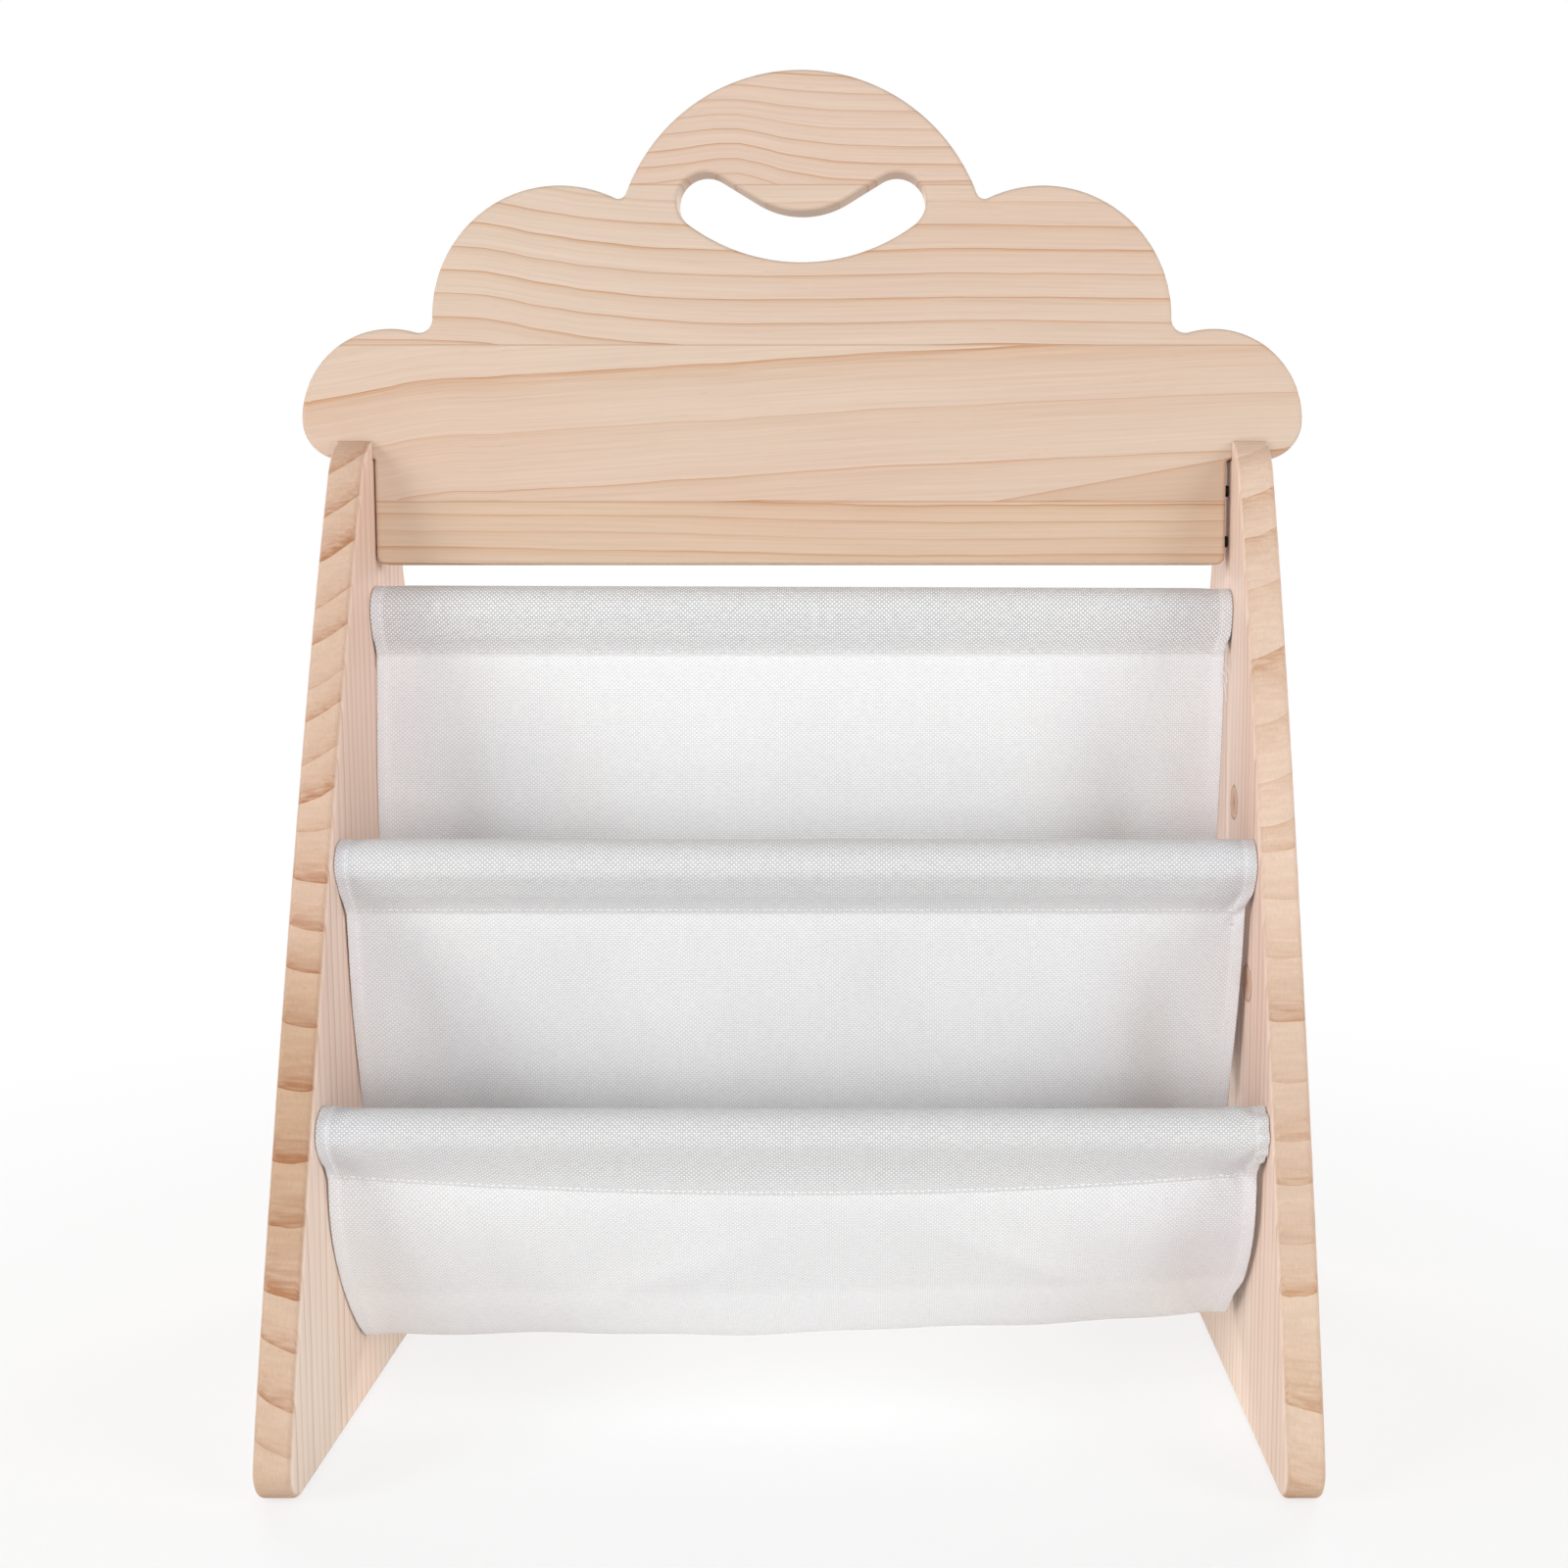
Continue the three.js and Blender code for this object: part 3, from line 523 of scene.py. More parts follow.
# Heights of the rings on the front edge of each panel, from the foot up, with their counts
LEFT_RINGS = (0, 27, 46, 70, 90, 118, 145, 177, 205, 229, 248)
LEFT_RINGS += (270, 293, 308, 327, 348, 363, 385, 403, 426, 448, 470, 500)
LOW_RIGHT_RINGS = (0, 43, 92, 112, 137, 155, 180, 206, 234, 261, 283)
HIGH_RIGHT_RINGS = (297, 318, 345, 376, 409, 435, 456, 478, 500)
left_rings = [(height, len(LEFT_RINGS) - 1.0 - k) for k, height in enumerate(LEFT_RINGS)]
right_rings = [(height, len(LOW_RIGHT_RINGS) + 1.0 - k) for k, height in enumerate(LOW_RIGHT_RINGS)]
right_rings += [(290, 1.5)] + [(height, 2.0 + k) for k, height in enumerate(HIGH_RIGHT_RINGS)]
panel_woods = {
    "left": panel_material(
        "panel_pine_left",
        -INNER_FACE - BOARD / 2,
        40.0,
        [(0, -0.3), (50, -0.55), (80, -0.4), (110, -0.1), (280, -0.2), (300, 0.25), (322, 0.62), (480, 0.7)],
        left_rings,
        lit(209, 181, 160),
        lit(170, 119, 84),
        (0.4, 1.2, 7.5),
        (0.84, 0.79, 0.7, 1),
        [],
    ),
    "right": panel_material(
        "panel_pine_right",
        INNER_FACE + BOARD / 2,
        311.0,
        [(43, -0.35), (80, 0.0), (270, 0.0), (300, 0.3), (480, 0.42)],
        right_rings,
        lit(221, 197, 178),
        lit(190, 147, 114),
        (0.22, 1.0, 10.0),
        (0.9, 0.885, 0.87, 1),
        [(-30.0, 300.0, (10.0, 9.5)), (-71.6, 215.4, (12.0, 9.8))],
    ),
}
for side, word in ((-1, "left"), (1, "right")):
    panel = board(
        f"pine_panel_{word}",
        outline,
        [],
        [],
        BOARD,
        panel_rounding,
        ((0, 1, 0), (0, 0, 1), (1, 0, 0)),
        (side * (INNER_FACE + BOARD / 2), 0, 0),
        panel_woods[word],
    )
    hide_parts(f"side_panel_{word}")


# Cloud-shaped header. One board of four pine staves glued edge to edge, sawn to the shape of a
# cloud with a smiling hand hole, and rounded over by 2 mm. It drops into the slots of the
# panels, and four bolts from outside end in barrel nuts in its back.

HEADER_ROUNDING = 2.0
WING_BOTTOM = 474.5
WING_REACH = 256.0
WING_CORNER = 20.0
CROWN_TOP = 669.0
CROWN_SHARE = 0.373
SHOULDER_SHARE = 0.2578
WING_SHARE = 0.18
OUTER_VALLEY = 7.0
INNER_VALLEY = 4.0
TAB_BOTTOM = 421.0
TAB_CORNER = 4.5
SEAT_GAP = 0.3
PLAY_LEFT = 0.3
PLAY_RIGHT = 2.3
HOLE_DROP = 65.0
HOLE_REACH = 48.5
HOLE_END_RADIUS = 14.5
HOLE_DEPTH = 30.1
HOLE_BUMP = 4.8
HOLE_SLOPE = math.radians(31.3)
HEADER_BOLT_HEIGHTS = {"lower": 433.0, "upper": 459.0}
BARREL_X, BARREL_POCKET_RADIUS, BARREL_POCKET_DEPTH = 189.0, 5.3, 13.6
BARREL_POCKETS = [
    ((side * BARREL_X, height), BARREL_POCKET_RADIUS, BARREL_POCKET_DEPTH)
    for side in (-1, 1)
    for height in HEADER_BOLT_HEIGHTS.values()
]


def valley(inner, inner_radius, outer, outer_radius, radius):
    """Centre of the circle that touches two lobes from outside: the place whose distances
    from their centres are their radii plus its own."""
    across = np.subtract(outer, inner)
    distance = np.hypot(*across)
    reach, other = inner_radius + radius, outer_radius + radius
    along = (distance**2 + reach**2 - other**2) / (2 * distance)
    height = math.sqrt(reach**2 - along**2)
    unit = across / distance
    return np.add(inner, unit * along + np.array((-unit[1], unit[0])) * height)


def bearing(start, end):
    return math.atan2(end[1] - start[1], end[0] - start[0])


def cloud_edge():
    """Right half of the cloud, from the wing's underside to the crown: wing, shoulder and crown
    are arcs, joined by small arcs in the valleys."""
    crown_radius = CROWN_SHARE * WING_REACH
    crown = (0, CROWN_TOP - crown_radius)
    shoulder = (0.4785 * WING_REACH, WING_BOTTOM + 0.3676 * (CROWN_TOP - WING_BOTTOM))
    shoulder_radius = SHOULDER_SHARE * WING_REACH
    wing_radius = WING_SHARE * WING_REACH
    wing = ((1 - WING_SHARE) * WING_REACH, WING_BOTTOM + WING_CORNER)
    outer = valley(shoulder, shoulder_radius, wing, wing_radius, OUTER_VALLEY)
    inner = valley(crown, crown_radius, shoulder, shoulder_radius, INNER_VALLEY)
    wing_end, shoulder_start = bearing(wing, outer), bearing(shoulder, outer)
    shoulder_end, crown_start = bearing(shoulder, inner), bearing(crown, inner)
    lobes = (
        arc((WING_REACH - WING_CORNER, WING_BOTTOM + WING_CORNER), WING_CORNER, -math.pi / 2, 0)[:-1],
        arc(wing, wing_radius, 0, wing_end)[:-1],
        arc(outer, OUTER_VALLEY, wing_end - math.pi, shoulder_start - math.pi)[:-1],
        arc(shoulder, shoulder_radius, shoulder_start, shoulder_end)[:-1],
        arc(inner, INNER_VALLEY, shoulder_end - math.pi, crown_start - math.pi)[:-1],
        arc(crown, crown_radius, crown_start, math.pi / 2)[:-1],
    )
    return np.concatenate(lobes)


def tab_edge(play):
    """Right half of the tab between the panels: its rounded lower corner and the small fillet
    under the wing."""
    seat = INNER_FACE - SEAT_GAP
    low = arc((seat - play - TAB_CORNER, TAB_BOTTOM + TAB_CORNER), TAB_CORNER, -math.pi / 2, 0)
    high = arc((seat, WING_BOTTOM - play), play, math.pi, math.pi / 2, 0.2)
    return np.concatenate((low, high))


def hand_hole():
    """The bump in the upper edge and each round end are arcs joined by a line that touches both.
    The lower edge is the arc that touches both round ends."""
    reach, radius, slope, level = HOLE_REACH, HOLE_END_RADIUS, HOLE_SLOPE, CROWN_TOP - HOLE_DROP
    rise = (reach - radius * math.sin(slope)) * math.tan(slope) - radius * math.cos(slope) - HOLE_BUMP
    bump_radius = rise / (1 / math.cos(slope) - 1)
    lower_radius = (reach**2 - radius**2 + HOLE_DEPTH**2) / (2 * (HOLE_DEPTH - radius))
    lower = (0, level - HOLE_DEPTH + lower_radius)
    touch = bearing(lower, (reach, level))
    half = np.concatenate(
        (
            arc((0, level - HOLE_BUMP + bump_radius), bump_radius, -math.pi / 2, slope - math.pi / 2)[1:],
            arc((reach, level), radius, slope + math.pi / 2, touch, 0.6),
            arc(lower, lower_radius, touch, -math.pi / 2)[1:],
        )
    )
    return np.concatenate((half, (half * (-1, 1))[::-1][1:], [[0, level - HOLE_BUMP]]))


def mirrored(points):
    return points[::-1] * (-1, 1)


cloud = cloud_edge()
header_outline = np.concatenate(
    (tab_edge(PLAY_RIGHT), cloud, [[0, CROWN_TOP]], mirrored(cloud), mirrored(tab_edge(PLAY_LEFT)))
)
header_rounding = np.full(len(header_outline), HEADER_ROUNDING)

GLUE_LINES = (453.0, 532.2, 612.0)
header_pine, tree, shader = new_material("header_pine")
x, y, z = place_in_mm(tree)
STAVES_FROM, STAVES_TO = 400.0, 700.0
height_share = step(tree, "ShaderNodeMapRange", z, STAVES_FROM, STAVES_TO, 0.0, 1.0).outputs[0]


def by_stave(*values):
    """One value for each stave, from the lowest to the crown."""
    places = (0.0,) + tuple((line - STAVES_FROM) / (STAVES_TO - STAVES_FROM) for line in GLUE_LINES)
    return ramp(tree, height_share, list(zip(places, values)), "CONSTANT")


def rings_rise(most, *points):
    """How far the rings rise above their level, in millimetres, at places along a stave."""
    return curve_over(tree, x, -WING_REACH, WING_REACH, points, most)


rise = rings_rise(20, (-220, 2.5), (-60, 0.5), (60, -2.0), (220, -1.5))
broad_left = ((-250, -20), (-209, -13), (-185, -9), (-149, -7.5), (-75, -2.5))
broad_right = ((-30, 0), (30, 4), (100, 7), (178, 11), (255, 14))
broad = rings_rise(22, *broad_left, *broad_right)
drooping_left = ((-200, 15.5), (-160, 13.6), (-141, 10), (-117, 6), (-90, 3), (-60, 1))
drooping = rings_rise(20, *drooping_left, (-10, 0), (86, 1.4), (187, 0))
hump_left = ((-95, 0.5), (-72, 0.57), (-55, 0.8), (-40, 1), (-28, 0.92))
hump = rings_rise(1, *hump_left, (-12, 0.5), (10, 0.14), (35, 0.02), (90, 0))
hump_size = step(tree, "ShaderNodeMapRange", z, GLUE_LINES[2], 668.0, 13.0, 3.0).outputs[0]
for line, above in zip(GLUE_LINES, (broad, drooping, maths(tree, "MULTIPLY", hump, hump_size))):
    rise = blend(tree, maths(tree, "GREATER_THAN", z, line), rise, above, kind="FLOAT")
# Of each stave the rings' pitch out of 25 mm, their start out of 10 mm and their seed out of 100
scales = by_stave((0.34, 0.3, 0.1, 1), (1.156, 0.42, 0.5, 1), (0.476, 0.8, 0.3, 1), (0.34, 0.24, 0.8, 1))
scales = step(tree, "ShaderNodeSeparateColor", scales).outputs
pitch, start, seed = (maths(tree, "MULTIPLY", scales[n], unit) for n, unit in enumerate((25.0, 10.0, 100.0)))
grain = use_group(
    tree,
    pine,
    Across=maths(tree, "SUBTRACT", maths(tree, "SUBTRACT", z, rise), start),
    Fibre=joined(tree, x, maths(tree, "SUBTRACT", z, rise), maths(tree, "ADD", y, seed)),
    Ring_Pitch=pitch,
    Drift=1.6,
    Line=0.72,
    Fade=by_stave(0.72, 0.6, 0.58, 0.4),
    Fade_Length=maths(tree, "MULTIPLY", pitch, 0.26),
    Seed=seed,
    Pale=lit(207, 188, 171),
    Tan=lit(183, 133, 90),
    Blush=lit(207, 183, 165),
)
# The diagonal line where a ring runs out of the third stave, darker below it
corner_line = maths(tree, "MULTIPLY_ADD", maths(tree, "SUBTRACT", x, 109.0), 0.183, 455.2)
under = maths(tree, "SUBTRACT", corner_line, z)
above = maths(tree, "GREATER_THAN", z, GLUE_LINES[0])
inside = maths(tree, "MULTIPLY", maths(tree, "GREATER_THAN", under, 0.0), above)
dark = maths(tree, "ADD", maths(tree, "EXPONENT", maths(tree, "MULTIPLY", under, -1.2)), 0.7)
dark = maths(tree, "MULTIPLY", maths(tree, "MULTIPLY", inside, dark), 0.42)
colour = blend(tree, dark, grain["Color"], lit(178, 132, 94))
# Thin glue lines between the staves, and a little difference in tone from stave to stave
tint = by_stave((0.965, 0.91, 0.835, 1), (1.0, 0.985, 0.97, 1), (0.99, 0.98, 0.97, 1), (1.0, 0.98, 0.98, 1))
colour = tinted(tree, colour, tint)
for line in GLUE_LINES:
    apart = maths(tree, "ABSOLUTE", maths(tree, "SUBTRACT", z, line))
    glue = ramp(tree, apart, [(0.0, 0.5), (0.3, 0.3), (0.6, 0.0)])
    colour = blend(tree, glue, colour, lit(164, 122, 86))
finish_wood(tree, shader, colour, grain["Roughness"], grain["Height"])

header = board(
    "pine_header",
    header_outline,
    [(hand_hole(), HEADER_ROUNDING)],
    BARREL_POCKETS,
    BOARD,
    header_rounding,
    ((1, 0, 0), (0, 0, 1), (0, -1, 0)),
    (0, 0, 0),
    header_pine,
)
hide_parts("cloud_header")


# Dowels. Three turned beech-coloured pine rods, 20 mm thick, that tie the panels together and
# carry the canvas. A bolt in each end runs into a threaded sleeve.

DOWELS = {"top": (-9.0, 397.0), "middle": (-82.02, 276.0), "front": (-120.96, 155.0)}
dowel_pine, tree, shader = new_material("dowel_pine")
x, y, z = place_in_mm(tree)
fibre = joined(tree, x, y, z)
grain = use_group(tree, pine, Across=z, Fibre=fibre, Ring_Pitch=4.2, Drift=2.0, Line=0.4, Fade=0.3)
finish_wood(tree, shader, grain["Color"], grain["Roughness"], grain["Height"])


def dress(node, material):
    node.data.materials.clear()
    node.data.materials.append(material)


for name in DOWELS:
    dress(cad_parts[f"{name}_dowel"], dowel_pine)


# Canvas. Two lengths of white cotton canvas in a plain weave, hemmed along both sides. Each
# is sewn round a dowel in a casing and hangs from it as a pocket: the rear one ends behind the
# middle seam, the front one goes on round the front dowel.

CASING_RADIUS = 11.1
LAYER_PITCH = 1.6
CASING_HALF_WIDTH = 219.7
POCKET_HALF_WIDTH = 219.6
HALF_THICKNESS = 0.42
HEM = 6.4
HEM_STITCH = 4.9
ALLOWANCE = 7.0
ROW = 2.2
COLUMNS = 143
EDGE_GAPS = (0, 0.7, 1.8, 3.2, 4.3, 4.9, 5.5, 6.1, 6.8, 8.0, 10.0)
SEAM_GAPS = (-3.0, -2.2, -1.6, -1.0, -0.4, 0.0, 0.4, 0.8, 1.4, 2.2)
SEAMS = {"top": (-13.0, 375.0), "middle": (-78.02, 252.0), "front": (-117.46, 127.0)}
REAR_BOTTOM = (-37.02, 167.0)
FRONT_BOTTOM = (-56.96, 33.0)
FRONT_REGION = -95
WARP_PITCH = 0.00115
WEFT_PITCH = 0.00105
CLOTH_RELIEF = 0.0003

canvas_white, tree, shader = new_material("canvas_white")
cloth = step(tree, "ShaderNodeUVMap", uv_map="cloth").outputs[0]
split = step(tree, "ShaderNodeSeparateXYZ", cloth).outputs
warp = maths(tree, "DIVIDE", split[0], WARP_PITCH)
weft = maths(tree, "DIVIDE", split[1], WEFT_PITCH)
count = maths(tree, "ADD", maths(tree, "FLOOR", warp), maths(tree, "FLOOR", weft))
over = maths(tree, "LESS_THAN", maths(tree, "FLOORED_MODULO", count, 2.0), 0.5)
warp_round = maths(tree, "SINE", maths(tree, "MULTIPLY", maths(tree, "FRACT", warp), math.pi))
weft_round = maths(tree, "SINE", maths(tree, "MULTIPLY", maths(tree, "FRACT", weft), math.pi))
yarn = blend(tree, over, weft_round, warp_round, kind="FLOAT")
slub = noise(tree, stretched(tree, cloth, (240, 900, 1)), 3.0)
patch = noise(tree, stretched(tree, cloth, (16, 11, 1)))
both = maths(tree, "MULTIPLY", warp_round, weft_round)
weave = maths(tree, "MULTIPLY_ADD", both, 0.35, maths(tree, "MULTIPLY", yarn, 0.2))
weave = maths(tree, "MULTIPLY_ADD", over, 0.4, weave)
weave = maths(tree, "MULTIPLY_ADD", maths(tree, "SUBTRACT", slub, 0.5), 0.4, weave)
# The casings are darker than the walls, with an open weave: partly the dowel's wood showing through the
# stretched cloth, partly painted shade.
backed_and_shaded = step(tree, "ShaderNodeAttribute", attribute_name="backed_and_shaded").outputs["Fac"]
open_shaded_tones = [(0.1, lit(156, 156, 159)), (0.5, lit(225, 225, 225)), (0.85, lit(249, 249, 249))]
close_tones = [(0.1, lit(212, 212, 215)), (0.5, lit(248, 248, 248)), (0.85, lit(253, 253, 253))]
open_weave_and_shade, close_weave_and_light = ramp(tree, weave, open_shaded_tones), ramp(tree, weave, close_tones)
# Painted shade: the lower casings are darker than the top one, as they get less light.
high = step(tree, "ShaderNodeSeparateXYZ", step(tree, "ShaderNodeTexCoord").outputs["Object"]).outputs[2]
high = ramp(tree, maths(tree, "MULTIPLY", high, 2.0), [(0.55, (0.86, 0.86, 0.86, 1)), (0.75, (1, 1, 1, 1))])
open_weave_and_shade = tinted(tree, open_weave_and_shade, high)
# Painted light: the pocket walls are darker just below the seams and lighter deeper down in the pockets,
# where the shade falls.
deep_painted_light = step(tree, "ShaderNodeAttribute", attribute_name="deep_painted_light").outputs["Fac"]
close_weave_and_light = blend(tree, deep_painted_light, tinted(tree, close_weave_and_light, (0.885, 0.885, 0.885, 1)), close_weave_and_light)
colour = blend(tree, backed_and_shaded, close_weave_and_light, open_weave_and_shade)
# Painted shade near the side panels: noise patches darken the cloth towards both ends, with a cool tint
# against the warm light bounced off the wood.
cool_end_shade = blend(tree, ramp(tree, patch, [(0.42, 0.0), (0.72, 1.0)]), (1, 1, 1, 1), (0.945, 0.945, 0.985, 1))
ends = step(tree, "ShaderNodeMapRange", maths(tree, "ABSOLUTE", split[0]), 0.12, 0.21, 0.0, 1.0).outputs[0]
cool_end_shade = blend(tree, ends, (1, 1, 1, 1), cool_end_shade)
colour = tinted(tree, colour, cool_end_shade)
doubled = step(tree, "ShaderNodeAttribute", attribute_name="hem").outputs["Fac"]
colour = blend(tree, maths(tree, "MULTIPLY", doubled, 0.3), colour, lit(240, 243, 249))
tree.links.new(colour, shader.inputs["Base Color"])
tree.links.new(maths(tree, "MULTIPLY_ADD", slub, 0.1, 0.84), shader.inputs["Roughness"])
bump = step(tree, "ShaderNodeBump")
bump.inputs["Strength"].default_value = 0.8
bump.inputs["Distance"].default_value = CLOTH_RELIEF
tree.links.new(weave, bump.inputs["Height"])
tree.links.new(bump.outputs[0], shader.inputs["Normal"])
shader.inputs["Specular IOR Level"].default_value = 0.2
shader.inputs["Sheen Weight"].default_value = 0.15


def touching(point, centre, side):
    """Bearing from a dowel at which the line from a point outside touches the casing's circle:
    the cosine of the angle to the point is the radius over the distance."""
    return bearing(centre, point) + side * math.acos(CASING_RADIUS / math.dist(point, centre))


def casing(name):
    """Canvas round a dowel: up from the back layer's seam, over the dowel on a circle and down
    to the front layer's seam, with a short allowance hanging below the back seam."""
    front = np.array(SEAMS[name])
    back = front + (LAYER_PITCH, 0)
    centre = DOWELS[name]
    start = touching(back, centre, 1)
    end = touching(front, centre, -1) + 2 * math.pi
    over = arc(centre, CASING_RADIUS, start, end, 0.5)
    return np.concatenate(([back - (0, ALLOWANCE), back], over, [front]))


def pocket(back_top, bottom, front_top, back_lean, front_lean):
    """Back wall and front wall, each a cubic curve that leaves its seam in its own direction
    and meets the bottom level."""
    back_drop, front_drop = back_top[1] - bottom[1], front_top[1] - bottom[1]
    back_pull = (back_top[0] + 0.5 * back_drop * back_lean, back_top[1] - 0.5 * back_drop)
    front_pull = (front_top[0] + 0.4 * front_drop * front_lean, front_top[1] - 0.4 * front_drop)
    down = bezier(back_top, back_pull, (bottom[0] + 0.15 * back_drop, bottom[1]), bottom, 120)
    up = bezier(bottom, (bottom[0] - 0.14 * front_drop, bottom[1]), front_pull, front_top, 80)
    return down[1:], up[1:]


def smooth(value):
    """Nought below 0, one above 1, and 3t squared less 2t cubed between."""
    t = np.clip(value, 0, 1)
    return t * t * (3 - 2 * t)


def near(distance, width):
    """A bell: e to the power of minus the square of the distance over the width."""
    return np.exp(-((distance / width) ** 2))


def run_along(path):
    """Length of a path up to each of its points: the sum of the lengths of its sides."""
    return np.concatenate(((0,), np.cumsum(np.linalg.norm(np.diff(path, axis=0), axis=1))))


def canvas(name, parts, seams, dowels, front_top, back_top, bottom, lift, seam_sag, tilt):
    """A sheet that follows a path in the YZ plane and runs straight across. Soft folds move it
    back and forth below the seams. Across itself it moves out by half its thickness, by the
    fullness of the casings, by a step and puckers at each seam, where the casing's edge lies on
    the pocket, and by creases at the ends of the lowest seam. The hems are thicker, with a
    groove along their stitching, and the right edge of a pocket draws in, more so lower down
    on its back wall."""
    path = np.concatenate(parts)
    run = run_along(path)
    close = [run[place] - side * np.array(SEAM_GAPS) for place, _, side, _ in seams]
    even = np.linspace(0, run[-1], int(run[-1] / ROW))
    s = np.unique(np.clip(np.concatenate([even] + close), 0, run[-1]))
    s = s[np.concatenate(((True,), np.diff(s) > 0.25))]
    s[-1] = run[-1]
    rows = len(s)
    centre = np.column_stack((np.interp(s, run, path[:, 0]), np.interp(s, run, path[:, 1])))
    along = np.gradient(centre, s, axis=0)
    along /= np.linalg.norm(along, axis=1, keepdims=True)
    normal = np.column_stack((along[:, 1], -along[:, 0]))
    to_dowel = np.min([np.linalg.norm(centre - DOWELS[d], axis=1) for d in dowels], axis=0)
    cased = 1 - smooth((to_dowel - 11.6) / 9)[:, None]
    seat = s
    s = s[:, None]
    width = POCKET_HALF_WIDTH + (CASING_HALF_WIDTH - POCKET_HALF_WIDTH) * cased
    hung = smooth((back_top[1] - centre[:, 1:]) / 110) * smooth((centre[:, :1] - front_top[0] - 24) / 14)
    edges = 1 - np.array(EDGE_GAPS) / POCKET_HALF_WIDTH
    share = np.concatenate((-edges, np.linspace(-0.942, 0.942, COLUMNS), edges[::-1]))[None, :]
    columns = share.size
    edge_gap = (1 - np.abs(share)) * POCKET_HALF_WIDTH
    x = share * width + 0.3 * np.sign(share) * near(edge_gap, 6) * (np.sin(s / 19) - 1) * (1 - cased)
    x = x - (2.0 + 2.5 * hung) * (1 - cased) * smooth((share - 0.3) / 0.7)
    y, z = centre[:, :1] + 0 * x, centre[:, 1:] + 0 * x

    start = front_top[0] + 2 * CASING_RADIUS
    to_back = np.clip((y - start) / (back_top[0] - start), 0, 1)
    seam_height = front_top[1] + to_back * (back_top[1] - front_top[1])
    strength = smooth((seam_height - z) / 60)
    fold = 1.6 * np.sin(2 * math.pi * x / 167) + 0.9 * np.sin(2 * math.pi * x / 71 + z / 45)
    fold = fold + 2.2 * near(x - 186 + z * 0.12 - 20, 15) + 1.6 * near(x + 190 - z * 0.1 + 20, 13)
    y = y + fold * strength
    right_fold = 2.6 * near(z - 95 + 0.53 * (x - 92), 8) * near(x - 92, 60)
    left_fold = 2.0 * near(z - 80 - 0.4 * (x + 60), 9) * near(x + 60, 50)
    y = y - (right_fold + left_fold) * strength
    # Painted light mark: nought just below a seam, one deeper down in the pocket.
    deep_painted_light = np.maximum(smooth((seam_height - z) / 105), 0.6 - 0.6 * seam_sag)
    lowness = smooth((front_top[1] - z) / (front_top[1] - bottom[1]))
    z = z + lift * lowness * (share + np.sqrt(share**2 + 0.01)) / 2
    sag = seam_sag * (9 * (np.abs(share) ** 2) * (1 + 0.08 * share) - 2.5)
    z = z + sag * near(centre[:, 1:] - SEAMS["front"][1], 13) * (centre[:, :1] < FRONT_REGION)

    hem = 1 - smooth((edge_gap - HEM + 0.5) / 1.0)
    to_front = np.linalg.norm(centre - SEAMS["front"], axis=1)[:, None]
    thick = HALF_THICKNESS * (1 + 0.75 * hem)
    out = cased * (0.7 * smooth(edge_gap / 20) - 0.3 + tilt * (1 - share))
    gaps = [smooth((s - run[place]) * side / 0.8) for place, _, side, _ in seams]
    # Casing mask for the darker casing colour, partly painted shade; it is lessened near each seam, painted
    # light on the casing's lower part.
    under = sum(near(np.maximum((s - run[place]) * side, 0), 9) for place, _, side, _ in seams)
    doubled = sum(first * second for first, second in zip(gaps[::2], gaps[1::2])) * (1 - 0.4 * under) + 0 * x
    for place, facing, side, beyond in seams:
        gap = (s - run[place]) * side
        past = smooth(-gap / 0.8)
        pucker = np.sin(2 * math.pi * x / 9.7 + 1.7 * np.sin(x / 23)) * near(gap, 5.5)
        out = out + facing * (0.3 * (1 - past) * near(gap, 9) + beyond * past * near(gap, 7))
        out = out + 0.9 * near(gap - 9, 5.5) * cased
        out = out + facing * (0.22 * pucker - 0.16 * near(gap - 1.6, 0.7))
        crease = near(edge_gap - 8, 13) * near(gap - 3, 9) * np.sin(0.7 * x + 0.45 * s)
        crease = crease * (0.7 + 0.3 * np.sign(x))
        out = out + facing * 0.8 * seam_sag * crease
    right_end = seam_sag * cased * (share > 0) * (centre[:, :1] < FRONT_REGION)
    out = out + right_end * near(edge_gap - 1, 5) * (1.1 * np.sin(0.7 * s + 0.5) + 0.5)
    out = out - right_end * near(edge_gap - 12 - 2.5 * np.sin(0.4 * s), 3) * 1.0
    drawn_in = near(to_front - 5 - 0.14 * edge_gap, 2) + 0.6 * near(to_front - 12 + 0.2 * edge_gap, 2.2)
    out = out - right_end * drawn_in * near(edge_gap - 15, 12) * 1.3
    out = out + 0.14 * np.sin(2 * math.pi * s / 7.3 + 2 * np.sin(s / 31)) * hem
    groove = 0.2 * near(edge_gap - HEM_STITCH, 0.9)

    def skin(side):
        depth = out + side * (thick - groove)
        return np.stack((x + 0 * depth, y + normal[:, :1] * depth, z + normal[:, 1:] * depth), axis=-1)

    upper, lower = skin(1), skin(-1)
    ring = np.concatenate((upper, lower[:, ::-1]), axis=1)
    faces = grid_faces(rows, 2 * columns, closed_columns=True)[:, ::-1]
    j = np.arange(columns - 1)
    first = np.column_stack((j, j + 1, 2 * columns - 2 - j, 2 * columns - 1 - j))
    last = first[:, ::-1] + (rows - 1) * 2 * columns
    both = np.concatenate((share[0], share[0, ::-1])) * POCKET_HALF_WIDTH
    uv = np.stack((both[None, :] + 0 * s, s + 0 * both[None, :]), axis=-1).reshape(-1, 2) * MM
    around = lambda value: np.concatenate((value, value[:, ::-1]), axis=1).ravel()
    marks = {"hem": around(hem + 0 * s), "backed_and_shaded": around(doubled), "deep_painted_light": around(deep_painted_light)}
    piece = new_piece(name, ring.reshape(-1, 3), [faces, first, last], canvas_white, uv, marks)
    return piece, upper, lower, seat, share[0]


